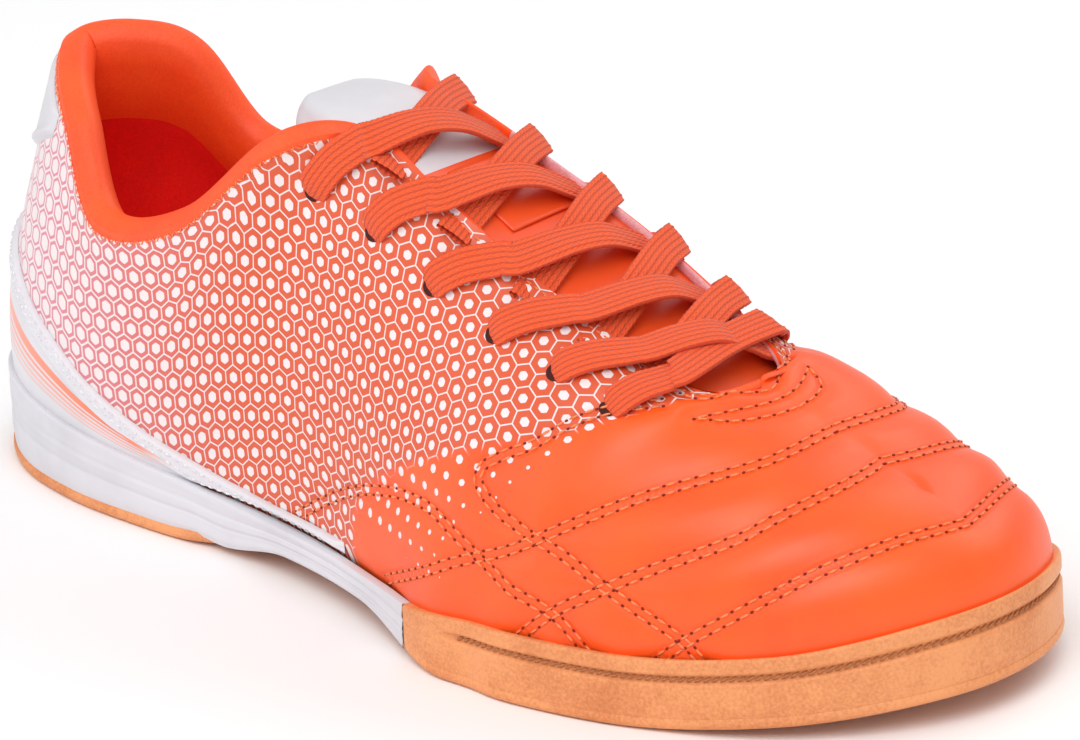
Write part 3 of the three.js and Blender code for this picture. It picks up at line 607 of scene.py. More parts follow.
colours = {
    "leather": rgb(255, 93, 22),
    "leatherDeep": rgb(248, 84, 20),
    "printRing": rgb(218, 86, 46),
    "printPale": rgb(220, 146, 168),
    "printWhite": rgb(236, 224, 224),
    "white": rgb(223, 221, 226),
    "foam": rgb(217, 215, 221),
    "gum": rgb(238, 158, 102),
    "gumDark": rgb(206, 122, 72),
    "lining": rgb(255, 26, 10),
    "band": rgb(255, 92, 30),
    "satin": rgb(236, 176, 178),
    "lace": rgb(250, 86, 32),
    # shade painted into the lace's hollows
    "laceHollowShade": rgb(206, 58, 22),
    "thread": rgb(250, 138, 84),
    # painted shade of the needle holes
    "hole": rgb(140, 36, 14),
    "stripe": rgb(252, 138, 104),
}


def darker(colour, share):
    return tuple(part * share for part in colour[:3]) + (1.0,)


def makeUpperLeather():
    material, wires, shader = newMaterial("printedLeather", 0.42)
    shader.inputs["Specular IOR Level"].default_value = 0.45
    shader.inputs["Coat Weight"].default_value = 0.12
    shader.inputs["Coat Roughness"].default_value = 0.35
    place = objectPlace(wires)
    cells = wires.group(hexCells, Place=surfacePlace(wires))
    dotSize, lines, pale = (wires.attribute(n) for n in ("dotSize", "lineShare", "paleShare"))
    near = wires.attribute("seamNear")
    softGrain = wires.group(grain, Place=place)
    blur = 0.014
    dot = wires.ramp(wires.math("SUBTRACT", dotSize, cells["Centre"]), -blur, blur)
    lineWidth = wires.math("MULTIPLY_ADD", pale, 0.03, 0.03)
    line = wires.ramp(wires.math("SUBTRACT", lineWidth, cells["Edge"]), -blur, blur)
    line = wires.math("MULTIPLY", line, lines)
    printed = wires.math("MAXIMUM", dot, line)
    ring = wires.mix(pale, colours["printRing"], colours["printPale"])
    bare = wires.mix(lines, wires.mix(wires.ramp(softGrain["Tone"], 0.3, 0.7), colours["leather"], colours["leatherDeep"]), ring)
    colour = wires.mix(printed, bare, colours["printWhite"])
    # Painted shade: the leather is darkened a little next to the sunk seams, where the quilting grooves are
    seamGrooveShade = wires.ramp(near, 0.2, 1.5, 0.82, 1.0)
    colour = wires.mix(seamGrooveShade, wires.mix(0.35, colour, colours["leatherDeep"]), colour)
    wires.join(colour, shader.inputs["Base Color"])
    seam = wires.ramp(near, 0.0, 1.3)
    height = wires.math("MULTIPLY_ADD", seam, 0.5, wires.math("MULTIPLY", printed, 0.06))
    first = bump(wires, shader, height, 0.0006, 0.8)
    bump(wires, shader, softGrain["Height"], 0.00004, 0.5, first)
    wires.join(wires.math("MULTIPLY_ADD", printed, 0.08, 0.42), shader.inputs["Roughness"])
    return material


def makeCloth(name, colour, deep, scale, roughness, sheen=0.0):
    material, wires, shader = newMaterial(name, roughness)
    shader.inputs["Sheen Weight"].default_value = sheen
    shader.inputs["Sheen Roughness"].default_value = 0.5
    place = objectPlace(wires)
    fine = wires.noise(place, scale, 2.0, 0.6)
    broad = wires.noise(place, 60.0, 3.0, 0.5)
    tone = wires.math("MULTIPLY_ADD", fine, 0.5, wires.math("MULTIPLY", broad, 0.5))
    wires.join(wires.mix(wires.ramp(tone, 0.35, 0.65), deep, colour), shader.inputs["Base Color"])
    bump(wires, shader, fine, 0.00012, 0.6)
    return material


def makeSmoothCoat(name, colour, roughness=0.45):
    material, wires, shader = newMaterial(name, roughness)
    softGrain = wires.group(grain, Place=objectPlace(wires))
    tint = darker(colour, 0.9)
    wires.join(wires.mix(wires.ramp(softGrain["Tone"], 0.35, 0.7), colour, tint), shader.inputs["Base Color"])
    bump(wires, shader, softGrain["Height"], 0.00005, 0.5)
    return material


def makeGum():
    material, wires, shader = newMaterial("gumRubber", 0.5)
    shader.inputs["Specular IOR Level"].default_value = 0.4
    place = objectPlace(wires)
    broad = wires.noise(place, 35.0, 4.0, 0.6)
    specks = wires.noise(place, 1400.0, 2.0, 0.5)
    tone = wires.math("MULTIPLY_ADD", specks, 0.35, wires.math("MULTIPLY", broad, 0.65))
    wires.join(wires.mix(wires.ramp(tone, 0.38, 0.7), colours["gum"], colours["gumDark"]), shader.inputs["Base Color"])
    wires.join(wires.ramp(broad, 0.3, 0.7, 0.46, 0.6), shader.inputs["Roughness"])
    bump(wires, shader, wires.math("ADD", specks, wires.noise(place, 300.0, 3.0, 0.5)), 0.00008, 0.6)
    return material


def makeTread():
    # Made-up zigzag ribs for the sole's unseen face
    material, wires, shader = newMaterial("gumTread", 0.55)
    place = objectPlace(wires)
    split = wires.node("ShaderNodeSeparateXYZ")
    wires.join(place, split.inputs[0])
    sideways = wires.math("FRACT", wires.math("MULTIPLY", split.outputs[1], 85.0))
    zigzag = wires.math("ABSOLUTE", wires.math("SUBTRACT", sideways, 0.5))
    ribs = wires.math("FRACT", wires.math("ADD", wires.math("MULTIPLY", split.outputs[0], 170.0), zigzag))
    high = wires.ramp(wires.math("ABSOLUTE", wires.math("SUBTRACT", ribs, 0.5)), 0.2, 0.3)
    specks = wires.noise(place, 1400.0, 2.0, 0.5)
    # Painted shade: the grooves between the ribs get the darker gum colour, the raised ribs the lighter one
    wires.join(wires.mix(wires.math("MULTIPLY", high, 0.75), colours["gumDark"], colours["gum"]), shader.inputs["Base Color"])
    bump(wires, shader, wires.math("MULTIPLY_ADD", specks, 0.06, high), 0.0012, 0.9)
    return material


def makeFoam():
    material, wires, shader = newMaterial("whiteFoam", 0.55)
    place = objectPlace(wires)
    broad = wires.noise(place, 45.0, 3.0, 0.55)
    fine = wires.noise(place, 900.0, 2.0, 0.5)
    deep = darker(colours["foam"], 0.9)
    wires.join(wires.mix(wires.ramp(broad, 0.4, 0.75), colours["foam"], deep), shader.inputs["Base Color"])
    bump(wires, shader, fine, 0.00005, 0.5)
    return material


def makeLaceCloth():
    material, wires, shader = newMaterial("wovenLace", 0.8)
    shader.inputs["Sheen Weight"].default_value = 0.08
    shader.inputs["Sheen Roughness"].default_value = 0.5
    split = wires.node("ShaderNodeSeparateXYZ")
    wires.join(surfacePlace(wires), split.inputs[0])
    across, length = split.outputs[0], split.outputs[1]
    # Plaits run along the lace, each of slanted stitches that lean to and fro
    plaits = wires.math("MULTIPLY", across, 6.0)
    inPlait = wires.math("ABSOLUTE", wires.math("SUBTRACT", wires.math("FRACT", plaits), 0.5))
    ridge = wires.ramp(inPlait, 0.52, 0.2)
    lean = wires.math("MULTIPLY", inPlait, 1.6)
    wave = wires.math("SINE", wires.math("MULTIPLY", wires.math("ADD", length, lean), 2 * math.pi))
    stitch = wires.math("MULTIPLY_ADD", wave, 0.5, 0.5)
    height = wires.math("MULTIPLY", ridge, wires.math("MULTIPLY_ADD", stitch, 0.6, 0.4))
    fuzz = wires.noise(objectPlace(wires), 2600.0, 2.0, 0.6)
    # Painted shade: the lace is darker in the hollows between plaits and stitches and lighter on their crowns
    colour = wires.mix(wires.ramp(height, 0.05, 0.75), colours["laceHollowShade"], colours["lace"])
    wires.join(wires.mix(wires.math("MULTIPLY", fuzz, 0.25), colour, colours["thread"]), shader.inputs["Base Color"])
    bump(wires, shader, wires.math("MULTIPLY_ADD", fuzz, 0.15, height), 0.00035, 0.9)
    return material


def makePlain(name, colour, roughness):
    material, wires, shader = newMaterial(name, roughness)
    tone = wires.noise(objectPlace(wires), 1500.0, 2.0, 0.5)
    deep = darker(colour, 0.72)
    wires.join(wires.mix(wires.ramp(tone, 0.35, 0.7), colour, deep), shader.inputs["Base Color"])
    return material


leather = makeUpperLeather()
bandCloth = makeCloth("collarBand", colours["band"], rgb(248, 76, 24), 1800.0, 0.55, 0.0)
liningCloth = makeCloth("collarLining", colours["lining"], rgb(235, 14, 6), 1500.0, 0.9, 0.0)
satinCloth = makeCloth("flapSatin", colours["satin"], rgb(222, 140, 146), 1700.0, 0.35, 0.1)
whiteCoat = makeSmoothCoat("whiteCoat", colours["white"])
orangeCoat = makeSmoothCoat("orangeCoat", rgb(250, 88, 34), 0.4)
gumRubber = makeGum()
gumTread = makeTread()
whiteFoam = makeFoam()
laceCloth = makeLaceCloth()
threadPlain = makePlain("seamThread", colours["thread"], 0.6)
# Painted shade: dark colour for the shadow inside the needle holes
pinholeShade = makePlain("needleHoleShade", colours["hole"], 0.9)
soleThread = makePlain("soleThread", rgb(186, 118, 68), 0.7)
print("materials are made")


# Seams, each a line of places on the upper: foot row and share of the section's height
seams = {
    "toeBand": [
        (3.8, 0.02), (3.4, 0.13), (2.9, 0.24), (2.1, 0.41), (1.1, 0.58), (0.0, 0.64), (-1.0, 0.61),
        (-2.0, 0.47), (-3.0, 0.24), (-3.5, 0.03),
    ],
    "ballBand": [(5.1, 0.03), (4.6, 0.16), (4.2, 0.24), (3.3, 0.43), (2.9, 0.56), (2.3, 0.78), (1.75, 0.999)],
    "ballBandInner": [(-1.75, 0.999), (-2.3, 0.78), (-2.9, 0.55), (-3.4, 0.4), (-4.2, 0.22), (-4.9, 0.03)],
    "vampBand": [
        (8.0, 0.02), (6.9, 0.17), (6.2, 0.25), (5.2, 0.36), (4.3, 0.53), (3.7, 0.66), (3.3, 0.8),
        (3.05, 0.999),
    ],
    "vampBandInner": [(-3.05, 0.999), (-3.35, 0.78), (-3.8, 0.6), (-4.8, 0.4), (-6.0, 0.24), (-7.4, 0.03)],
    "quarterFront": [
        (9.7, 0.03), (8.9, 0.13), (8.3, 0.2), (7.8, 0.25), (7.3, 0.28), (6.8, 0.27), (6.3, 0.25), (5.4, 0.2),
        (4.6, 0.15), (4.1, 0.03),
    ],
    "quarterInner": [(-9.5, 0.03), (-8.6, 0.14), (-7.6, 0.24), (-6.8, 0.26), (-5.9, 0.23), (-4.9, 0.14), (-4.3, 0.03)],
    "eyestay": [
        (6.0, 0.88), (6.25, 0.78), (6.4, 0.68), (6.5, 0.58), (6.7, 0.51), (6.85, 0.45), (6.75, 0.41),
        (6.3, 0.38), (5.7, 0.36), (4.8, 0.32), (4.1, 0.24), (3.5, 0.14), (3.2, 0.03),
    ],
    "eyestayInner": [
        (-6.0, 0.88), (-6.3, 0.7), (-6.6, 0.52), (-6.7, 0.42), (-6.2, 0.37), (-5.4, 0.34), (-4.6, 0.27),
        (-3.9, 0.14), (-3.6, 0.03),
    ],
}
singleSeams = {
    "throatEnd": [(6.6, 0.955), (6.0, 0.95), (5.5, 0.93), (5.0, 0.93), (4.7, 0.965), (4.6, 0.999)],
    "throatEndInner": [(-6.6, 0.955), (-6.0, 0.95), (-5.5, 0.93), (-5.0, 0.93), (-4.7, 0.965), (-4.6, 0.999)],
    "leafNear": [(4.9, 0.8), (4.55, 0.87), (4.3, 0.94), (4.25, 0.999)],
    "leafNearInner": [(-4.7, 0.84), (-4.45, 0.9), (-4.3, 0.95), (-4.25, 0.999)],
    "leafFar": [(4.9, 0.8), (4.3, 0.84), (3.95, 0.92), (3.85, 0.999)],
    "leafFarInner": [(-4.7, 0.84), (-4.2, 0.87), (-3.95, 0.93), (-3.85, 0.999)],
}
quilt = {"rowGap": 2.0, "sink": 0.55, "reach": 2.6, "stitch": 3.5, "puff": 0.5}


def smoothLine(points, step=0.5):
    # Evenly spaced places in millimetres along a smooth line through listed places
    line = np.array(points, float)
    spots = np.linspace(0, len(line) - 1, 40 * len(line))
    row, t = along(line[:, 0], spots, False), along(line[:, 1], spots, False)
    path = skin(row, t)
    length = np.concatenate([[0], np.cumsum(np.linalg.norm(np.diff(path, axis=0), axis=1))])
    even = np.arange(0, length[-1], step)
    return np.interp(even, length, row), np.interp(even, length, t)


# The whole skin of the upper as one grid of rows and shares
skinGrid = {"perRow": 20, "body": 84, "edge": 12, "edgeDepth": 6.0}
gridRows = np.arange(rowCount * skinGrid["perRow"]) / skinGrid["perRow"]
edgeStart = shareBelowTop(gridRows, skinGrid["edgeDepth"])
bodyShares = np.linspace(0, 1, skinGrid["body"])[None, :] * (edgeStart[:, None] - 0.02) + 0.02
edgeDepths = np.linspace(skinGrid["edgeDepth"], 0, skinGrid["edge"] + 1)[1:]
edgeShares = np.stack([shareBelowTop(gridRows, depth) for depth in edgeDepths], 1)
gridShares = np.concatenate([bodyShares, edgeShares], 1)
skinPoints = skin(gridRows[:, None], gridShares)
signedRow = np.where(gridRows > rowCount / 2, gridRows - rowCount, gridRows)


def softenRows(points):
    # Takes the crease out of the skin where the ridge of the vamp ends at the throat
    width = skinGrid["perRow"] // 2
    steps = np.arange(-width, width + 1)
    weights = np.exp(-((steps / (width * 0.55)) ** 2))
    weights /= weights.sum()
    spread = sum(w * np.roll(points, s, axis=0) for w, s in zip(weights, steps))
    nearThroat = smooth(1 - np.abs(np.abs(signedRow) - throatRow) / 1.6)
    inside = smooth((gridShares - 0.05) / 0.2) * smooth((0.985 - gridShares) / 0.25)
    share = nearThroat[:, None] * inside
    return points + (spread - points) * share[..., None]


skinPoints = softenRows(softenRows(skinPoints))


def gridNormals(points):
    across = np.roll(points, -1, 0) - np.roll(points, 1, 0)
    up = np.gradient(points, axis=1)
    return unit(np.cross(up, across))


skinNormals = gridNormals(skinPoints)
ridgeTop = onRidgeRow(gridRows)
fallHere = topPoint(gridRows)[1]
levelNormal = unit(np.stack([fallHere, np.zeros_like(fallHere), np.ones_like(fallHere)], -1))
skinNormals[ridgeTop, -1] = levelNormal[ridgeTop]


# Places on the finished grid, so that stitches and laces lie on the softened skin
def gridValue(values, row, t):
    row, t = np.broadcast_arrays(np.asarray(row, float), np.asarray(t, float))
    place = np.mod(row, rowCount) * skinGrid["perRow"]
    i0 = np.floor(place).astype(int)
    share = (place - i0)[..., None]
    parts = []
    for i in (i0 % len(gridRows), (i0 + 1) % len(gridRows)):
        lines = gridShares[i]
        j = np.clip((lines < t[..., None]).sum(-1) - 1, 0, gridShares.shape[1] - 2)
        low = np.take_along_axis(lines, j[..., None], -1)[..., 0]
        high = np.take_along_axis(lines, j[..., None] + 1, -1)[..., 0]
        s = np.clip((t - low) / (high - low), 0, 1)[..., None]
        parts.append(values[i, j] * (1 - s) + values[i, j + 1] * s)
    return parts[0] * (1 - share) + parts[1] * share


def doubleRow(points, gap):
    # The two stitch rows on both sides of a seam, as points and normals
    row, t = smoothLine(points)
    path = gridValue(skinPoints, row, t)
    normal = unit(gridValue(skinNormals, row, t))
    side = unit(np.cross(normal, unit(np.gradient(path, axis=0))))
    return [(path + side * half, normal) for half in (-gap / 2, gap / 2)]


stitchRows = {name: doubleRow(points, quilt["rowGap"]) for name, points in seams.items()}
stitchRows.update({name: doubleRow(points, 0.0)[:1] for name, points in singleSeams.items()})
seamTree = KDTree(sum(len(path) for rows in stitchRows.values() for path, _ in rows))
seamIndex = 0
for rows in stitchRows.values():
    for path, _ in rows:
        for point in path:
            seamTree.insert(point, seamIndex)
            seamIndex += 1
seamTree.balance()
quilted = (np.abs(signedRow)[:, None] < 10.5) & np.ones_like(gridShares, bool)
seamNear = np.full(gridShares.shape, 20.0)
for i, j in np.argwhere(quilted):
    seamNear[i, j] = min(seamTree.find(skinPoints[i, j])[2], 20.0)
sunk = np.exp(-((seamNear / quilt["reach"]) ** 2))
depthBelowTop = np.concatenate([np.full(skinGrid["body"], 9.0), edgeDepths])
onVamp = smooth((9.3 - np.abs(signedRow)) / 1.5)[:, None] * smooth(depthBelowTop / 5)[None, :]
skinHigh = skinPoints + skinNormals * ((quilt["puff"] * smooth(seamNear / 9) * onVamp - quilt["sink"] * sunk)[..., None])
fadeEnds = smooth(gridShares / 0.06)
skinHigh = skinPoints + (skinHigh - skinPoints) * fadeEnds[..., None]
print("upper surface is shaped")

# Flat pattern of each side for the print: length forward from the heel, and girth up from a line
printMap = {"level": 0.38, "pitch": 5.0, "turn": 4.0, "start": (0.0, 0.0)}
levelShare = np.full(len(gridRows), printMap["level"])
levelLine = gridValue(skinPoints, gridRows, levelShare)
ahead = unit(np.roll(levelLine, -3, 0) - np.roll(levelLine, 3, 0))
heelIndex = rowCount // 2 * skinGrid["perRow"]
steps = np.linalg.norm(np.roll(levelLine, -1, 0) - levelLine, axis=1)
fromHeel = np.concatenate([[0], np.cumsum(steps)])[:-1]
fromHeel = np.abs(fromHeel - fromHeel[heelIndex])
outer = gridRows <= rowCount / 2
ahead[outer] *= -1
offset = skinPoints - levelLine[:, None, :]
alongPart = np.einsum("ijk,ik->ij", offset, ahead)
girth = np.linalg.norm(np.diff(skinPoints - alongPart[..., None] * ahead[:, None, :], axis=1), axis=-1)
girth = np.concatenate([np.zeros((len(gridRows), 1)), np.cumsum(girth, axis=1)], 1)
levelGirth = np.array([np.interp(printMap["level"], gridShares[i], girth[i]) for i in range(len(gridRows))])
flatStart = np.stack([np.broadcast_to(fromHeel[:, None], girth.shape), girth - levelGirth[:, None]], -1)


def relaxed(points, flat, rounds):
    # Lets a flat net of points settle until its links have the lengths that they have on the shoe
    for _ in range(rounds):
        move, count = np.zeros_like(flat), np.zeros(flat.shape[:2])
        for a, b in (
            (np.s_[:-1, :], np.s_[1:, :]),
            (np.s_[:, :-1], np.s_[:, 1:]),
            (np.s_[:-1, :-1], np.s_[1:, 1:]),
            (np.s_[:-1, 1:], np.s_[1:, :-1]),
        ):
            want = np.linalg.norm(points[a] - points[b], axis=-1)
            gap = flat[b] - flat[a]
            length = np.maximum(np.linalg.norm(gap, axis=-1), 1e-6)
            pull = gap * (0.5 * (length - want) / length)[..., None]
            move[a] += pull
            move[b] -= pull
            count[a] += 1
            count[b] += 1
        flat = flat + 1.7 * move / count[..., None]
    return flat


def flattened(rows, stepAcross=5, stepUp=5):
    i, j = rows[::stepAcross], np.unique(np.append(np.arange(0, gridShares.shape[1], stepUp), gridShares.shape[1] - 1))
    start = flatStart[np.ix_(i, j)]
    shift = relaxed(skinPoints[np.ix_(i, j)], start.copy(), 4000) - start
    for _ in range(40):
        shift[1:-1] = (shift[:-2] + 2 * shift[1:-1] + shift[2:]) / 4
        shift[:, 1:-1] = (shift[:, :-2] + 2 * shift[:, 1:-1] + shift[:, 2:]) / 4
    net = start + shift
    allColumns = np.arange(gridShares.shape[1])
    wide = np.stack([[np.interp(allColumns, j, line[:, k]) for line in net] for k in (0, 1)], -1)
    places, fine = np.arange(len(i)) * stepAcross, np.arange(len(rows))
    return np.stack([[np.interp(fine, places, wide[:, c, k]) for c in allColumns] for k in (0, 1)], -1).swapaxes(0, 1)


perRow = skinGrid["perRow"]
flat = flatStart.copy()
outerRows = np.arange(4 * perRow, 16 * perRow + 1)
innerRows = np.arange(28 * perRow, 16 * perRow - 1, -1)
flat[outerRows] = flattened(outerRows)
flat[innerRows] = flattened(innerRows)
flatAlong, flatUp = flat[..., 0], flat[..., 1]


def turned(u, v):
    angle = math.radians(printMap["turn"])
    x = (u * math.cos(angle) + v * math.sin(angle)) / printMap["pitch"] + printMap["start"][0]
    y = (v * math.cos(angle) - u * math.sin(angle)) / printMap["pitch"] + printMap["start"][1]
    return x, y


printU, printV = turned(flatAlong, flatUp)

# Where the print is: outlined cells behind a slanting line, then dots that shrink and stop
printEdge = {
    "line": [
        (0.12, 8.6), (0.19, 8.45), (0.3, 7.9), (0.4, 7.4), (0.5, 6.95), (0.63, 6.35), (0.75, 6.1),
        (0.92, 5.85), (1.2, 5.7),
    ],
    "reach": 2.3,
    "reachEnd": 0.76,
    "dotAtEdge": 0.2,
    "dotAtHeel": 0.4,
}


def printFields():
    shares = [p[0] for p in printEdge["line"]]
    rows = [p[1] for p in printEdge["line"]]
    edgeRow = np.interp(gridShares, shares, rows)
    behind = np.abs(signedRow)[:, None] - edgeRow
    lineShare = smooth(behind / 0.12 + 0.5)
    back = np.clip(1 - flatAlong / 175, 0, 1)
    dot = printEdge["dotAtEdge"] + (printEdge["dotAtHeel"] - printEdge["dotAtEdge"]) * back**1.6
    reach = np.maximum(printEdge["reach"] * (1 - gridShares / printEdge["reachEnd"]), 0.02)
    ahead = np.clip(-behind / reach, 0, 1)
    dot = np.where(behind < 0, printEdge["dotAtEdge"] * (1 - ahead) ** 0.6 * (ahead < 0.93), dot)
    stop = (gridShares < 0.13) & (np.abs(signedRow)[:, None] < 8.9)
    dot = np.where(stop & (behind < 0), 0, dot)
    pale = smooth((back - 0.3) / 0.6)
    return dot, lineShare, pale


dotSize, lineShare, paleShare = printFields()


def buildUpper():
    rows, columns = gridShares.shape
    padded = np.clip(along(footTable["pad"], gridRows), 0, 1)
    depth = np.concatenate([np.full(skinGrid["body"], 99.0), edgeDepths])
    isBand = (depth[None, :] < 2.1) & (padded[:, None] > 0.2)
    faces = gridFaces(rows, columns, closeRows=True)
    band = isBand[faces // columns, faces % columns].all(axis=1)
    uv = np.stack([printU, printV], -1).reshape(-1, 2)
    fields = {"dotSize": dotSize, "lineShare": lineShare, "paleShare": paleShare, "seamNear": seamNear}
    points = skinHigh.copy()
    points[:, 0] -= outwards(gridRows) * 1.2 + [0, 0, 3.0]
    obj = addMesh("upper_leather", points.reshape(-1, 3), faces, [leather, bandCloth], band.astype(int), uv, fields)
    mergeSeam(obj)
    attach(obj, "root")
    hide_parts("upper")
    return obj


def mergeSeam(obj):
    mergeMesh(obj, 0.00002)
    facingOut(obj)
    for polygon in obj.data.polygons:
        polygon.use_smooth = True


def rimAndLining(row, arcs=9, levels=26):
    # From the outer edge over the top and down the inner side
    top = gridValue(skinPoints, row, np.ones_like(row))
    normal = skinNormal(row, np.ones_like(row))
    edge = unit(topPoint(row + 0.03)[0] - topPoint(row - 0.03)[0])
    rise = -unit(np.cross(normal, edge))
    rise = np.where(rise[..., 2:3] < 0, -rise, rise)
    wall = wallAt(row, np.ones_like(row))
    inner = top - normal * wall[..., None]
    shares = np.linspace(0, 1, arcs)
    arc = top[:, None] + (inner - top)[:, None] * shares[None, :, None]
    lobe = np.exp(-(((row - 22.2) / 0.8) ** 2))
    arc += rise[:, None] * ((wall * (0.36 + 0.5 * lobe) + 1.2 * lobe)[:, None] * np.sin(np.pi * shares)[None, :])[..., None]
    down = 1 - np.linspace(0, 1, levels)[1:] ** 0.8 * 0.95
    inside = np.stack([offSkin(row, np.full_like(row, s), -wallAt(row, np.full_like(row, s))) for s in down], 1)
    return np.concatenate([arc, inside], 1), arcs


def buildLining():
    fine = np.arange(rowCount * 14) / 14
    grid, arcs = rimAndLining(fine)
    ridge = onRidgeRow(fine)
    under = grid[:, arcs - 1].copy()
    grid[ridge, :arcs] = under[ridge][:, None, :]
    rows, columns = grid.shape[:2]
    faces = gridFaces(rows, columns, closeRows=True)
    place = fine[faces // columns]
    column = faces % columns
    onCollar = ((place > 10.3) & (place < 21.7)).all(axis=1)
    onEdge = (column <= arcs + 4).all(axis=1)
    throatSide = ((column <= arcs + 4).all(axis=1)) & ~onCollar
    satin = throatSide & ((place > 22.7) & (place < 26.3)).all(axis=1) & (column >= 2).all(axis=1)
    kind = np.where(onEdge | throatSide, 0, 1)
    kind = np.where(satin, 2, kind)
    obj = addMesh("collar_lining", grid.reshape(-1, 3), faces, [bandCloth, liningCloth, satinCloth], kind)
    mergeMesh(obj, 0.00002)
    for polygon in obj.data.polygons:
        polygon.use_smooth = True
    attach(obj, "root")
    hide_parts("upper")
    return obj


buildUpper()
buildLining()
print("upper and lining are made")


# Sole
soleLook = {
    "cut": 0.575,
    "slope": 6.0,
    "slopeHeight": 90,
    "ribs": 0.2,
    "cupSide": [
        (0, 2.2), (0.04, 1.1), (0.1, 0.4), (0.2, 0.05), (0.3, 0), (0.5, 0), (0.63, 0), (0.66, 0.35),
        (0.68, 1.0), (0.72, 1.15), (0.76, 1.0), (0.78, 0.35), (0.81, 0), (0.94, 0), (0.98, 0.15), (1, 0.6),
    ],
    "foamSide": [
        (0, 0.4), (0.1, 0.0), (0.34, 0), (0.4, 0.35), (0.46, 0), (0.6, 0), (0.66, 0.35), (0.72, 0),
        (0.94, 0), (0.98, 0.1), (1, 0.5),
    ],
}
soleRowsFine = np.arange(rowCount * 16) / 16


def sideAt(profile, up):
    ups, depths = [p[0] for p in profile], [p[1] for p in profile]
    return np.interp(up, ups, depths)


def solePoint(row, up, depth):
    edge = outline(row)
    point = edge - outwards(row) * np.asarray(depth)[..., None]
    point[..., 2] = ground(point[..., 0]) * (1 - up) + wallTop(point[..., 0]) * up
    return point


def rimOfWall(row, lift):
    # The foot of the upper's side, where the sole's wall meets it
    height = wallTop(skin(row, 0.1)[..., 0])
    return offSkin(row, shareAtHeight(row, height + lift), 0.1)


def cutLine(grid):
    # How far forward the foam reaches at each height, where the gum cup starts
    return soleLook["cut"] * shoe["soleLength"] + grid[..., 2] / soleLook["slopeHeight"] * soleLook["slope"]


def buildCup():
    ups = np.concatenate([np.linspace(0, 0.6, 16), np.linspace(0.61, 0.83, 23), np.linspace(0.85, 1, 10)])
    row = soleRowsFine
    fromToe = np.minimum(row, rowCount - row)
    groove = smooth((6.7 - fromToe) / 0.5)
    depths = [sideAt(soleLook["cupSide"], u) * (groove if 0.64 < u < 0.8 else 1) for u in ups]
    grid = np.stack([solePoint(row, np.full_like(row, u), depth + 0 * row) for u, depth in zip(ups, depths)], 1)
    grid = np.concatenate([grid, rimOfWall(row, -0.5)[:, None]], 1)
    limit = cutLine(grid)
    keep = grid[..., 0] > limit
    rows, columns = grid.shape[:2]
    faces = gridFaces(rows, columns, closeRows=True)
    inside = keep[faces // columns, faces % columns].any(axis=1)
    grid[..., 0] = np.maximum(grid[..., 0], limit)
    return addMesh("gum_cup", grid.reshape(-1, 3), faces[inside], [gumRubber])


def buildBottom():
    # Tread face, and the gum layer's edge behind the cup
    row = soleRowsFine
    shares = np.linspace(0, 1, 14)
    rim = solePoint(row, np.zeros_like(row), np.full_like(row, 2.2))
    spine = rim.copy()
    spine[:, 1] = rim[:, 1].mean()
    lowX, highX = 0.11 * shoe["soleLength"], 0.83 * shoe["soleLength"]
    spine[:, 0] = np.clip(rim[:, 0], lowX, highX)
    grid = rim[:, None] * (1 - shares[None, :, None]) + spine[:, None] * shares[None, :, None]
    grid[..., 2] = ground(grid[..., 0])
    side = []
    for up, depth in ((1.0, 0.6), (0.94, 0.05), (0.5, -0.1), (0.2, 0.1), (0.05, 1.0)):
        x = outline(row)[..., 0]
        hidden = smooth((x - 80) / 14) * smooth((168 - x) / 8)
        point = outline(row) - outwards(row) * (depth + 1.2 * hidden)[..., None]
        point[..., 2] = ground(point[..., 0]) + up * shoe["gum"]
        side.append(point)
    grid = np.concatenate([np.stack(side, 1), grid], 1)
    rows, columns = grid.shape[:2]
    faces = gridFaces(rows, columns, closeRows=True)
    below = (faces % columns).min(axis=1) >= 5
    obj = addMesh("gum_tread", grid.reshape(-1, 3), faces, [gumRubber, gumTread], below.astype(int))
    mergeMesh(obj, 0.00002)
    return obj


def buildMidsole():
    ups = np.linspace(0, 1, 46)
    row = soleRowsFine
    base = outline(row)
    lines = []
    for u in ups:
        wave = soleLook["ribs"] * sideAt([(0, 0), (0.1, 1), (0.9, 1), (1, 0)], u)
        flow = wave * np.sin(2 * math.pi * (2.6 * u + base[:, 0] / shoe["soleLength"] * 1.2)) * 0.5
        point = base - outwards(row) * (sideAt(soleLook["foamSide"], u) * 0.6 + 0.15 + flow)[..., None]
        bare = smooth((point[..., 0] - 80) / 14)
        low = ground(point[..., 0]) + shoe["gum"] * (0.95 - 0.85 * bare)
        point[..., 2] = low * (1 - u) + wallTop(point[..., 0]) * u
        lines.append(point)
    lines.append(rimOfWall(row, -0.5))
    grid = np.stack(lines, 1)
    limit = cutLine(grid)
    keep = grid[..., 0] < limit
    rows, columns = grid.shape[:2]
    faces = gridFaces(rows, columns, closeRows=True)
    inside = keep[faces // columns, faces % columns].any(axis=1)
    grid[..., 0] = np.minimum(grid[..., 0], limit)
    obj = addMesh("foam_midsole", grid.reshape(-1, 3), faces[inside], [whiteFoam])
    return obj


for build, node, slotName in (
    (buildCup, "outsole", "gum_rubber"),
    (buildBottom, "outsole", "gum_rubber"),
    (buildMidsole, "midsole", "white_foam"),
):
    piece = facingOut(build())
    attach(piece, "root")
    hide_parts(node)
print("sole is made")


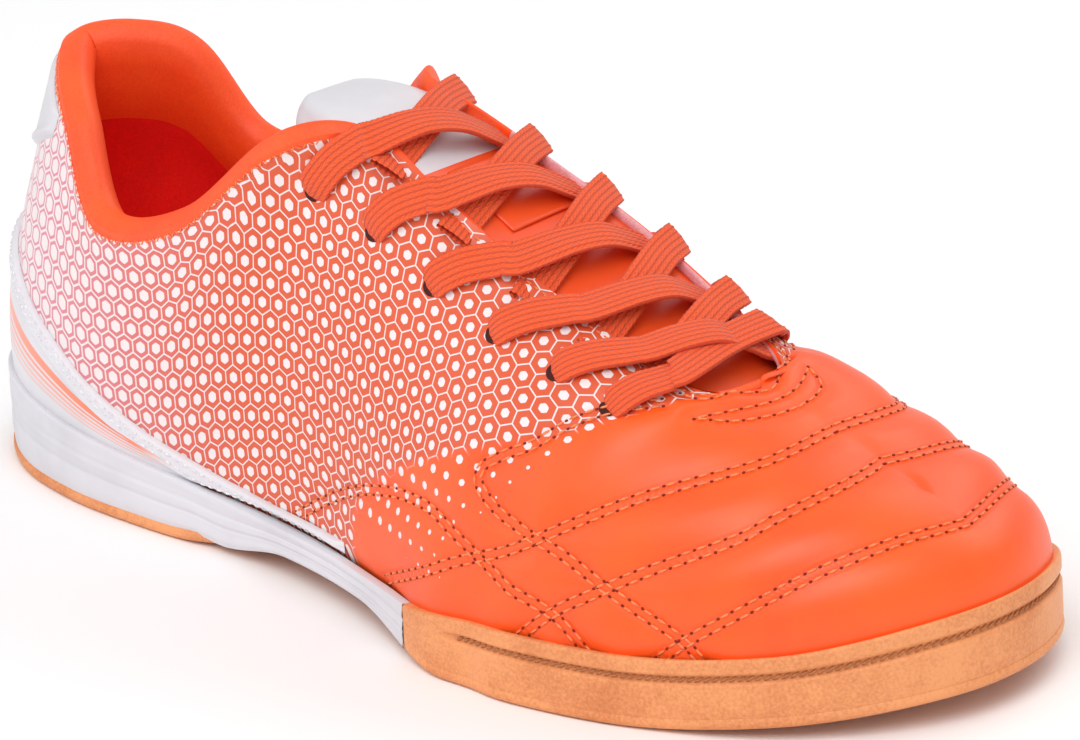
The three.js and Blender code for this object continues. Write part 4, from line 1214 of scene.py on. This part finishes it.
def buildInsole():
    row = soleRowsFine
    rim = skin(row, 0.02 + 0 * row) - outwards(row) * (shoe["wall"] + 0.3)
    spine = rim.copy()
    spine[:, 1] = rim[:, 1].mean()
    spine[:, 0] = np.clip(rim[:, 0], 0.11 * shoe["soleLength"], 0.83 * shoe["soleLength"])
    shares = np.linspace(0, 1, 16)
    grid = rim[:, None] * (1 - shares[None, :, None]) + spine[:, None] * shares[None, :, None]
    rise = shoe["wall"] + shoe["insole"] + shoe["clearance"] * 2
    grid[..., 2] = footbed(grid[..., 0]) + rise + 1.2 * (1 - smooth(shares * 4))[None, :]
    skirt = grid[:, :1].copy()
    skirt[..., 2] -= shoe["insole"]
    grid = np.concatenate([skirt, grid], 1)
    rows, columns = grid.shape[:2]
    obj = addMesh("sock_liner", grid.reshape(-1, 3), gridFaces(rows, columns, closeRows=True), [liningCloth])
    mergeMesh(obj, 0.00002)
    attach(obj, "root")
    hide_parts("insole")
    return facingOut(obj)


buildInsole()


# Sheets laid on the upper: heel counter and heel tab
def overlaySheet(name, rows, low, high, levels, profile, materials):
    ks = np.linspace(0, 1, levels)
    t = low[:, None] + (high - low)[:, None] * ks[None, :]
    base = gridValue(skinPoints, rows[:, None] + 0 * t, t)
    normal = unit(gridValue(skinNormals, rows[:, None] + 0 * t, t))
    span = np.linalg.norm(np.diff(base, axis=1), axis=-1)
    up = np.concatenate([np.zeros((len(rows), 1)), np.cumsum(span, 1)], 1)
    below = up[:, -1:] - up
    inward = np.minimum(np.arange(len(rows)), np.arange(len(rows))[::-1])
    lift = 0.05 + (profile(up, below) - 0.05) * np.sqrt(np.clip(inward / 3, 0, 1))[:, None]
    top = base + normal * lift[..., None]
    under = base + normal * 0.05
    foot = under[:, :1] - [0, 0, 1.2]
    grid = np.concatenate([foot, top, under[:, -1:]], 1)
    pad = lambda values: np.concatenate([values[:, :1], values, values[:, -1:]], 1)
    spread = lambda values: pad(np.broadcast_to(values, t.shape))
    fields = {
        "fromEdge": pad(below),
        "level": spread(ks[None, :]),
        "backness": spread(1 - np.abs(rows[:, None] - 16) / 6),
        "tall": spread(up[:, -1:]),
    }
    obj = addMesh(name, grid.reshape(-1, 3), gridFaces(*grid.shape[:2]), materials, attributes=fields)
    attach(obj, "root")
    return facingOut(obj)


counter = {
    "rows": (8.8, 21.4),
    "above": [
        (8.6, 0.4), (10.4, 0.8), (11.4, 2), (12.4, 6.5), (13.4, 16.5), (14.4, 26), (16, 31), (17.6, 26),
        (18.6, 16.5), (19.6, 6.5), (20.6, 2), (21.6, 0.4),
    ],
    "band": 4.6,
    "stripes": [(0.6, 0.052, 1.0), (0.5, 0.02, 0.9), (0.43, 0.018, 0.75), (0.365, 0.016, 0.6), (0.305, 0.015, 0.45)],
}


def counterTop(row):
    return np.interp(row, [p[0] for p in counter["above"]], [p[1] for p in counter["above"]])


def smoothTop(row):
    return sum(counterTop(row + d) for d in np.linspace(-0.5, 0.5, 9)) / 9


def makeCounterCoat():
    material, wires, shader = newMaterial("counterCoat", 0.42)
    level, back, tall = (wires.attribute(n) for n in ("level", "backness", "tall"))
    fromEdge = wires.attribute("fromEdge")
    softGrain = wires.group(grain, Place=objectPlace(wires))
    colour = wires.mix(wires.ramp(softGrain["Tone"], 0.35, 0.7), colours["white"], darker(colours["white"], 0.93))
    shows = wires.ramp(tall, 5.0, 9.0)
    for place, half, strength in counter["stripes"]:
        distance = wires.math("ABSOLUTE", wires.math("SUBTRACT", level, place))
        mask = wires.math("MULTIPLY", wires.ramp(distance, half + 0.006, half - 0.006), shows)
        fade = wires.math("MULTIPLY", mask, wires.ramp(back, 0.9, 0.45, strength * 0.55, strength))
        colour = wires.mix(fade, colour, colours["stripe"])
    wires.join(colour, shader.inputs["Base Color"])
    weave = wires.node("ShaderNodeTexVoronoi", feature="F1")
    wires.join(objectPlace(wires), weave.inputs["Vector"])
    weave.inputs["Scale"].default_value = 1300.0
    onBand = wires.ramp(fromEdge, counter["band"] + 0.1, counter["band"] - 0.1)
    height = wires.math("ADD", wires.math("MULTIPLY", weave.outputs["Distance"], onBand), softGrain["Height"])
    bump(wires, shader, height, 0.00006, 0.7)
    return material


counterCoat = makeCounterCoat()


def counterEdges(rows):
    wall = wallTop(skin(rows, 0.15)[..., 0]) + 0.8
    return shareAtHeight(rows, wall - 3.2), shareAtHeight(rows, wall + 1.9 + smoothTop(rows))


def counterLift(up, below):
    band = smooth((counter["band"] + 0.4 - below) / 0.8)
    edge = np.sqrt(np.clip(1 - (1 - np.clip(below / 1.0, 0, 1)) ** 2, 0, 1))
    return 0.35 + (0.45 + 0.75 * band) * edge


def tabLift(up, below):
    edge = np.minimum(np.clip(below / 1.2, 0, 1), np.clip(up / 1.6, 0, 1))
    roll = np.exp(-(((up - 1.6) / 1.1) ** 2)) * 0.7
    return 0.25 + 0.9 * np.sqrt(np.clip(1 - (1 - edge) ** 2, 0, 1)) + roll


def buildCounter():
    rows = np.linspace(*counter["rows"], 300)
    low, high = counterEdges(rows)
    obj = overlaySheet("heel_counter_skin", rows, low, high, 60, counterLift, [counterCoat])
    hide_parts("heel_counter")


heelTab = {"halfRows": 1.75, "height": 31, "sideHeight": 9, "belowEdge": 3.6}


def buildHeelTab():
    rows = np.linspace(16 - heelTab["halfRows"], 16 + heelTab["halfRows"], 60)
    share = np.abs(rows - 16) / heelTab["halfRows"]
    depth = heelTab["height"] + (heelTab["sideHeight"] - heelTab["height"]) * share**1.3
    low, high = shareBelowTop(rows, depth), shareBelowTop(rows, heelTab["belowEdge"])
    obj = overlaySheet("heel_tab_skin", rows, low, high, 40, tabLift, [whiteCoat])
    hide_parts("heel_tab")


buildCounter()
buildHeelTab()
print("counter and heel tab are made")


# Tongue
tongue = {
    "rows": [6, 6.4, 6.8, 7.2, 7.7, 8.2, 8.8, 9.4],
    "shares": [0.7, 0.82, 0.92, 1],
    "slack": 0.6,
    "tuck": (6.6, 4.0),
    "toe": (12, 6.5, 0.7),
    "top": [(10, 2.8, 0.98), (19, 4.8, 0.93), (26, 5.9, 0.84), (32, 6.2, 0.7), (36, 5.9, 0.52), (38.4, 5.2, 0.3)],
    "across": 15,
    "whiteFrom": 7.7,
}


def evenPoints(points, count):
    places = np.linspace(0, len(points) - 1, 200)
    dense = np.stack([along(points[:, k], places, False) for k in range(3)], -1)
    length = np.concatenate([[0], np.cumsum(np.linalg.norm(np.diff(dense, axis=0), axis=1))])
    even = np.linspace(0, length[-1], count)
    return np.stack([np.interp(even, length, dense[:, k]) for k in range(3)], -1)


def tongueLine(row):
    depth = shoe["clearance"] + tongue["slack"] + max(tongue["tuck"][0] - row, 0) * tongue["tuck"][1]
    shares = np.array(tongue["shares"])
    under = lambda place, t: offSkin(np.full_like(t, place), t, -wallAt(np.full_like(t, place), t) - depth)
    return evenPoints(np.concatenate([under(row, shares), under(rowCount - row, shares[::-1])]), tongue["across"])


def tongueNet():
    lines = [tongueLine(row) for row in tongue["rows"]]
    middle = (tongue["across"] - 1) // 2
    forward, down, narrow = tongue["toe"]
    front = lines[0][middle]
    lines.insert(0, front + (lines[0] - front) * [1, narrow, 1] + [forward, 0, -down])
    last = lines[-1]
    for back, up, width in tongue["top"]:
        lines.append(last[middle] + (last - last[middle]) * [0.4, width, width] + [-back, 0, up])
    return np.array(lines)


tongueControl = tongueNet()


def tongueAt(line, place):
    # Point and normal of the tongue's face at a line and a share across
    def value(u, v):
        u = np.clip(u, 0, len(tongueControl) - 1)
        columns = np.clip(v, 0, 1) * (tongue["across"] - 1)
        point = []
        for k in range(3):
            parts = np.stack([along(tongueControl[:, c, k], u, False) for c in range(tongue["across"])], -1)
            padded = np.concatenate([2 * parts[..., :1] - parts[..., 1:2], parts, 2 * parts[..., -1:] - parts[..., -2:-1]], -1)
            i = np.clip(np.floor(columns).astype(int), 0, tongue["across"] - 2)
            pick = lambda s: np.take_along_axis(padded, (i + s)[..., None], -1)[..., 0]
            point.append(curveThrough(pick(0), pick(1), pick(2), pick(3), columns - i))
        return np.stack(point, -1)

    line, place = np.broadcast_arrays(np.asarray(line, float), np.asarray(place, float))
    last = len(tongueControl) - 1
    ahead = value(np.minimum(line + 0.05, last), place) - value(np.maximum(line - 0.05, 0), place)
    side = value(line, np.minimum(place + 0.01, 1)) - value(line, np.maximum(place - 0.01, 0))
    normal = unit(np.cross(ahead, side))
    normal = np.where(normal[..., 2:3] < 0, -normal, normal)
    return value(line, place), normal


def slabFaces(rows, columns):
    # A top sheet, an under sheet that faces the other way, and the wall round their edge
    top, size = gridFaces(rows, columns), rows * columns
    ring = np.concatenate([
        np.arange(columns),
        np.arange(1, rows) * columns + columns - 1,
        (rows - 1) * columns + np.arange(columns - 2, -1, -1),
        np.arange(rows - 2, 0, -1) * columns,
    ])
    nextRing = np.roll(ring, -1)
    wall = np.stack([ring, nextRing, nextRing + size, ring + size], -1)
    return top, (top + size)[:, ::-1], wall


def buildTongue():
    lines = np.linspace(0, len(tongueControl) - 1, 110)
    places = np.linspace(0, 1, 56)
    u, v = np.meshgrid(lines, places, indexing="ij")
    face, normal = tongueAt(u, v)
    edge = np.minimum(np.minimum(v, 1 - v) / 0.14, 1)
    end = np.minimum((len(tongueControl) - 1 - u) / 0.8, 1)
    full = np.sqrt(np.clip(1 - (1 - np.minimum(edge, end)) ** 2, 0, 1))
    puff = 0.9 * smooth((u - 7.2) / 1.5) * full
    top = face + normal * (puff - shoe["tongue"] * 0.5 * (1 - full))[..., None]
    under = face - normal * (shoe["tongue"] * (0.5 + 0.45 * full))[..., None]
    points = np.concatenate([top.reshape(-1, 3), under.reshape(-1, 3)])
    parts = slabFaces(*u.shape)
    allFaces = np.concatenate(parts)
    isWhite = u.ravel()[allFaces % u.size].min(axis=1) > tongue["whiteFrom"]
    isUnder = np.repeat([False, True, False], [len(part) for part in parts])
    kinds = np.where(isUnder, 2, isWhite.astype(int))
    obj = addMesh("tongue_padded", points, allFaces, [orangeCoat, whiteCoat, liningCloth], kinds)
    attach(obj, "root")
    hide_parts("tongue")
    return facingOut(obj)


def buildKeeper():
    lines = np.linspace(6.4, 7.6, 24)
    places = np.linspace(0.35, 0.65, 24)
    u, v = np.meshgrid(lines, places, indexing="ij")
    face, normal = tongueAt(u, v)
    share = np.minimum((v - 0.35) / 0.3, (0.65 - v) / 0.3) * 2
    lift = 0.1 + 0.25 * smooth(share * 2.2)
    top = face + normal * (lift + 0.4)[..., None]
    under = face + normal * lift[..., None]
    points = np.concatenate([top.reshape(-1, 3), under.reshape(-1, 3)])
    obj = addMesh("lace_keeper", points, np.concatenate(slabFaces(*u.shape)), [orangeCoat])
    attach(obj, "root")
    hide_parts("tongue_keeper")
    return facingOut(obj)


buildTongue()
buildKeeper()
print("tongue is made")


# Laces
lace = {
    "width": 8.0,
    "thickness": 1.5,
    "lift": 1.1,
    "slant": 0.42,
    "crownNear": 5.0,
    "crownFar": 3.6,
    "inset": 15,
    "pairs": 6,
    "outer": (10.15, 3.85, 0.85),
    "inner": (10.15, 3.7, 1.0),
    "stitch": 1.7,
    "endWidth": 0.76,
}


def eyeletPlace(side, pair):
    top, span, power = lace["outer"] if side < 0 else lace["inner"]
    row = top - (pair / (lace["pairs"] - 1)) ** power * span
    row = row if side < 0 else rowCount - row
    return row, shareBelowTop(row, lace["inset"])[0]


def edgeRow(side, start, end):
    a, b = eyeletPlace(side, start)[0], eyeletPlace(side, end)[0]
    return a + (b - a) * 0.35


def onSkinAt(row, t, lift):
    point = gridValue(skinHigh, row, t)
    normal = unit(gridValue(skinNormals, row, t))
    return point + normal * lift, normal


def overFlap(side, pair, edge):
    # From the hole in the eyelet row up to the edge of the throat
    row, share = eyeletPlace(side, pair)
    dip = [(-0.16, -1.3), (-0.03, 0.4)]
    spots = dip + [(part, lace["lift"] + rise) for part, rise in ((0.12, 0.2), (0.4, 0.5), (0.8, 0.9), (1.0, 1.9))]
    return [onSkinAt(row + (edge - row) * s, share + (1 - share) * s, lift) for s, lift in spots]


def lacePath(side, pair):
    endRow = edgeRow(side, pair, pair + 1)
    startRow = edgeRow(-side, pair + 1, pair) + (lace["slant"] if side < 0 else 0)
    startEdge, endEdge = topPoint(startRow)[0], topPoint(endRow)[0]
    up = unit(skinNormal(endRow, 1.0) + skinNormal(startRow, 1.0))
    crown = lace["crownNear"] if side < 0 else lace["crownFar"]
    first = [
        (startEdge + (endEdge - startEdge) * share + up * rise, up)
        for share, rise in ((-0.12, -2.6), (0.06, -1.2), (0.24, 1.6), (0.5, crown), (0.76, crown * 0.95))
    ]
    return first + overFlap(side, pair, endRow)[::-1]


def barPath():
    last = lace["pairs"] - 1
    near, far = ([p for p in overFlap(side, last, eyeletPlace(side, last)[0])] for side in (-1, 1))
    middle = [((near[-1][0] + far[-1][0]) / 2 + np.array([0, 0, 1.0]), unit(near[-1][1] + far[-1][1]))]
    return near + middle + far[::-1]


def ribbon(path, narrowStart, narrowEnd, steps=90):
    points = np.array([p[0] for p in path])
    ups = np.array([p[1] for p in path])
    gaps = np.sqrt(np.linalg.norm(np.diff(points, axis=0), axis=1))
    places = np.concatenate([[0], np.cumsum(gaps)])
    spots = np.interp(np.linspace(0, places[-1], 400), places, np.arange(len(points)))
    dense = np.stack([along(points[:, k], spots, False) for k in range(3)], -1)
    denseUp = np.stack([np.interp(spots, np.arange(len(points)), ups[:, k]) for k in range(3)], -1)
    length = np.concatenate([[0], np.cumsum(np.linalg.norm(np.diff(dense, axis=0), axis=1))])
    even = np.linspace(0, length[-1], steps)
    centre = np.stack([np.interp(even, length, dense[:, k]) for k in range(3)], -1)
    up = unit(np.stack([np.interp(even, length, denseUp[:, k]) for k in range(3)], -1))
    ahead = unit(np.gradient(centre, axis=0))
    side = unit(np.cross(ahead, up))
    face = unit(np.cross(side, ahead))
    width = np.full(steps, 1.0)
    if narrowStart:
        width = np.minimum(width, lace["endWidth"] + (1 - lace["endWidth"]) * smooth(even / 4))
    if narrowEnd:
        width = np.minimum(width, lace["endWidth"] + (1 - lace["endWidth"]) * smooth((length[-1] - even) / 4))
    angles = np.linspace(0, 2 * math.pi, 40, endpoint=False)
    across = np.sign(np.cos(angles)) * np.abs(np.cos(angles)) ** 0.75
    high = np.sign(np.sin(angles)) * np.abs(np.sin(angles)) ** 0.55
    half = lace["width"] / 2 * width[:, None]
    thick = lace["thickness"] / 2 * (1 + 0.5 * (1 - width[:, None]))
    ribs = 0.12 * np.cos(across[None, :] * math.pi * 6) * np.sign(high)[None, :]
    edgeWave = 1 + 0.02 * np.sin(2 * math.pi * even / lace["stitch"])[:, None] * (np.abs(across) > 0.7)[None, :]
    sideways = side[:, None] * (half * across[None, :] * edgeWave)[..., None]
    grid = centre[:, None] + sideways + face[:, None] * (thick * high[None, :] + ribs)[..., None]
    uv = np.stack([(across[None, :] + 1) / 2 + 0 * even[:, None], (even / lace["stitch"])[:, None] + 0 * across[None, :]], -1)
    return grid, uv


def buildLace(name, paths, node):
    points, faces, uvs, count = [], [], [], 0
    for path, narrowStart, narrowEnd in paths:
        grid, uv = ribbon(path, narrowStart, narrowEnd)
        rows, columns = grid.shape[:2]
        points.append(grid.reshape(-1, 3))
        uvs.append(uv.reshape(-1, 2))
        faces.append(gridFaces(rows, columns, closeColumns=True, offset=count))
        count += rows * columns
    obj = addMesh(name, np.concatenate(points), np.concatenate(faces), [laceCloth], uv=np.concatenate(uvs))
    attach(obj, "root")
    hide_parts(node)
    return facingOut(obj)


for pair in range(lace["pairs"] - 1):
    straps = [(lacePath(-1, pair), False, True), (lacePath(1, pair), False, True)]
    if pair == lace["pairs"] - 2:
        straps.append((barPath(), True, True))
    buildLace("lace_crossing_%d" % (pair + 1), straps, "lace_%d" % (pair + 1))


# Painted shade: a dark disc on the skin at each eyelet stands for the shadow in the lace hole
def buildHoles():
    points, faces = [], []
    for side in (-1, 1):
        for pair in range(lace["pairs"]):
            row, share = eyeletPlace(side, pair)
            centre, normal = onSkinAt(np.array(row), np.array(share - 0.022), 0.14)
            a = unit(np.cross(normal, [0, 0, 1.0]))
            b = np.cross(normal, a)
            start = len(points)
            points.append(centre - normal * 0.1)
            for angle in np.linspace(0, 2 * math.pi, 20, endpoint=False):
                points.append(centre + (a * math.cos(angle) + b * math.sin(angle)) * 2.3)
            faces += [(start, start + 1 + k, start + 1 + (k + 1) % 20) for k in range(20)]
    obj = addMesh("eyelet_hole_shade", np.array(points), faces, [eyeletShade])
    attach(obj, "root")


# Painted shade: the colour of the shadow inside the eyelet holes
eyeletShade = makePlain("eyeletHoleShade", rgb(70, 14, 8), 0.9)
buildHoles()
print("laces are made")


# Stitches: one small form of thread repeated along the seams
def stitchTree(name, material):
    tree = bpy.data.node_groups.new(name, "GeometryNodeTree")
    tree.is_modifier = True
    for label, io, kind in (
        ("Geometry", "INPUT", "Geometry"),
        ("Length", "INPUT", "Float"),
        ("Radius", "INPUT", "Float"),
        ("Geometry", "OUTPUT", "Geometry"),
    ):
        tree.interface.new_socket(label, in_out=io, socket_type="NodeSocket" + kind)
    wires = Wiring(tree)
    start, end = wires.node("NodeGroupInput"), wires.node("NodeGroupOutput")
    form = wires.node("GeometryNodeMeshUVSphere")
    form.inputs["Segments"].default_value = 8
    form.inputs["Rings"].default_value = 6
    form.inputs["Radius"].default_value = 1.0
    size = wires.node("ShaderNodeCombineXYZ")
    wires.join(wires.math("MULTIPLY", start.outputs["Length"], 0.5), size.inputs[0])
    wires.join(start.outputs["Radius"], size.inputs[1])
    wires.join(start.outputs["Radius"], size.inputs[2])
    ahead = wires.node("GeometryNodeInputNamedAttribute", data_type="FLOAT_VECTOR")
    ahead.inputs["Name"].default_value = "ahead"
    normal = wires.node("GeometryNodeInputNamedAttribute", data_type="FLOAT_VECTOR")
    normal.inputs["Name"].default_value = "upright"
    turn = wires.node("FunctionNodeAlignRotationToVector", axis="X")
    wires.join(ahead.outputs["Attribute"], turn.inputs["Vector"])
    roll = wires.node("FunctionNodeAlignRotationToVector", axis="Z", pivot_axis="X")
    wires.join(turn.outputs[0], roll.inputs["Rotation"])
    wires.join(normal.outputs["Attribute"], roll.inputs["Vector"])
    place = wires.node("GeometryNodeInstanceOnPoints")
    wires.join(start.outputs["Geometry"], place.inputs["Points"])
    wires.join(form.outputs["Mesh"], place.inputs["Instance"])
    wires.join(roll.outputs[0], place.inputs["Rotation"])
    wires.join(size.outputs[0], place.inputs["Scale"])
    whole = wires.node("GeometryNodeRealizeInstances")
    wires.join(place.outputs[0], whole.inputs[0])
    finish = wires.node("GeometryNodeSetMaterial")
    finish.inputs["Material"].default_value = material
    wires.join(whole.outputs[0], finish.inputs["Geometry"])
    wires.join(finish.outputs[0], end.inputs[0])
    return tree


def placeStitches(name, points, ahead, normals, length, radius, material):
    mesh = bpy.data.meshes.new(name + "_points")
    mesh.from_pydata(toFrame(points).tolist(), [], [])
    for key, values in (("ahead", ahead), ("upright", normals)):
        layer = mesh.attributes.new(key, "FLOAT_VECTOR", "POINT")
        layer.data.foreach_set("vector", np.asarray(values, np.float32).ravel())
    base = bpy.data.objects.new(name, mesh)
    bpy.context.scene.collection.objects.link(base)
    tree = stitchTree(name, material)
    modifier = base.modifiers.new("stitches", "NODES")
    modifier.node_group = tree
    sockets = {item.name: item.identifier for item in tree.interface.items_tree if item.in_out == "INPUT"}
    modifier[sockets["Length"]] = length * mm
    modifier[sockets["Radius"]] = radius * mm
    bpy.context.view_layer.update()
    depsgraph = bpy.context.evaluated_depsgraph_get()
    whole = bpy.data.meshes.new_from_object(base.evaluated_get(depsgraph), depsgraph=depsgraph)
    base.modifiers.clear()
    base.data = whole
    for polygon in whole.polygons:
        polygon.use_smooth = True
    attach(base, "root")
    return base


def evenlyAlong(path, normal, pitch, phase=0.5):
    length = np.concatenate([[0], np.cumsum(np.linalg.norm(np.diff(path, axis=0), axis=1))])
    spots = np.arange(pitch * phase, length[-1], pitch)
    pick = lambda values: np.stack([np.interp(spots, length, values[:, k]) for k in range(3)], -1)
    return pick(path), unit(pick(unit(np.gradient(path, axis=0)))), unit(pick(normal))


def sewn(paths, pitch, phase=0.5):
    parts = [evenlyAlong(path, normal, pitch, phase) for path, normal in paths]
    return [np.concatenate([part[k] for part in parts]) for k in range(3)]


def onLine(row, t, lift):
    # A line of places on the finished skin, with its normals
    point, normal = onSkinAt(np.asarray(row, float), np.asarray(t, float), lift)
    return point, normal


def seamPaths(lift):
    found = []
    for rows in stitchRows.values():
        for path, normal in rows:
            found.append((path + normal * (lift - quilt["sink"]), normal))
    return found


points, ahead, normals = sewn(seamPaths(0.12), quilt["stitch"])
placeStitches("seam_stitches", points, ahead, normals, 2.3, 0.3, threadPlain)
# Painted shade: small dark beads between the stitches stand for the shadow in the needle holes
points, ahead, normals = sewn(seamPaths(-0.02), quilt["stitch"], 0.0)
placeStitches("seam_pinhole_shade", points, ahead, normals, 0.9, 0.34, pinholeShade)


# Collar and flap edges
def depthLine(start, end, depth, lift, step=0.03):
    rows = np.arange(start, end, step)
    return onLine(rows, shareBelowTop(rows, depth), lift)


path, normal = depthLine(10.4, 21.6, 2.2, 0.15)
points, ahead, normals = sewn([(path, normal)], 1.5)
side = np.cross(normals, ahead)
lean = np.where(np.arange(len(points)) % 2 == 0, 1.0, -1.0)[:, None]
placeStitches("collar_stitches", points, unit(ahead + side * lean * 0.9), normals, 1.6, 0.17, threadPlain)
flapLines = [depthLine(5.3, 10.3, 2.2, 0.1), depthLine(21.7, 26.7, 2.2, 0.1)]
points, ahead, normals = sewn(flapLines, 2.2)
placeStitches("flap_stitches", points, ahead, normals, 1.5, 0.22, threadPlain)

# Counter band and the thread in the groove of the cup
whiteThread = makePlain("whiteThread", rgb(238, 234, 238), 0.6)


def counterLine(fromEdge):
    rows = np.linspace(counter["rows"][0] + 0.3, counter["rows"][1] - 0.3, 400)
    high = counterEdges(rows)[1]
    t = high - fromEdge / 95
    point, normal = gridValue(skinPoints, rows, t), unit(gridValue(skinNormals, rows, t))
    return point + normal * 1.6, normal


points, ahead, normals = sewn([counterLine(1.2), counterLine(3.7)], 2.6)
placeStitches("counter_stitches", points, ahead, normals, 1.8, 0.24, whiteThread)


def grooveLine():
    rows = np.arange(-6.2, 6.3, 0.02)
    up = np.full_like(rows, 0.72)
    point = solePoint(rows, up, np.full_like(rows, 0.75))
    return point, outwards(rows)


points, ahead, normals = sewn([grooveLine()], 1.9)
placeStitches("sole_stitches", points, unit(ahead + np.cross(normals, ahead) * 0.45), normals, 2.4, 0.3, soleThread)
print("stitches are sewn")


# Floor and light
def buildStage():
    floor = bpy.data.meshes.new("floor")
    floor.from_pydata([(-3, -3, 0), (3, -3, 0), (3, 3, 0), (-3, 3, 0)], [], [(0, 1, 2, 3)])
    obj = bpy.data.objects.new("floor", floor)
    material, wires, shader = newMaterial("paleFloor", 0.6)
    shader.inputs["Base Color"].default_value = (0.97, 0.97, 0.975, 1)
    floor.materials.append(material)
    bpy.context.scene.collection.objects.link(obj)
    world = bpy.data.worlds.new("studio")
    world.use_nodes = True
    world.node_tree.nodes["Background"].inputs["Color"].default_value = (1, 1, 1, 1)
    world.node_tree.nodes["Background"].inputs["Strength"].default_value = 0.62
    bpy.context.scene.world = world


def addLight(name, place, size, power, colour=(1, 1, 1)):
    data = bpy.data.lights.new(name, "AREA")
    data.shape = "RECTANGLE"
    data.size, data.size_y = size
    data.energy = power
    data.color = colour
    obj = bpy.data.objects.new(name, data)
    obj.location = place
    obj.rotation_euler = (Vector((0, 0, 0.04)) - Vector(place)).to_track_quat("-Z", "Y").to_euler()
    bpy.context.scene.collection.objects.link(obj)


buildStage()
addLight("key", (0.5, -0.7, 1.1), (0.9, 0.9), 9.5)
addLight("fill", (-0.8, -0.9, 0.6), (1.0, 1.0), 3)
addLight("back", (0.2, 0.9, 0.9), (1.2, 0.6), 4)
bpy.context.scene.view_settings.view_transform = "Standard"
print("stage is lit")
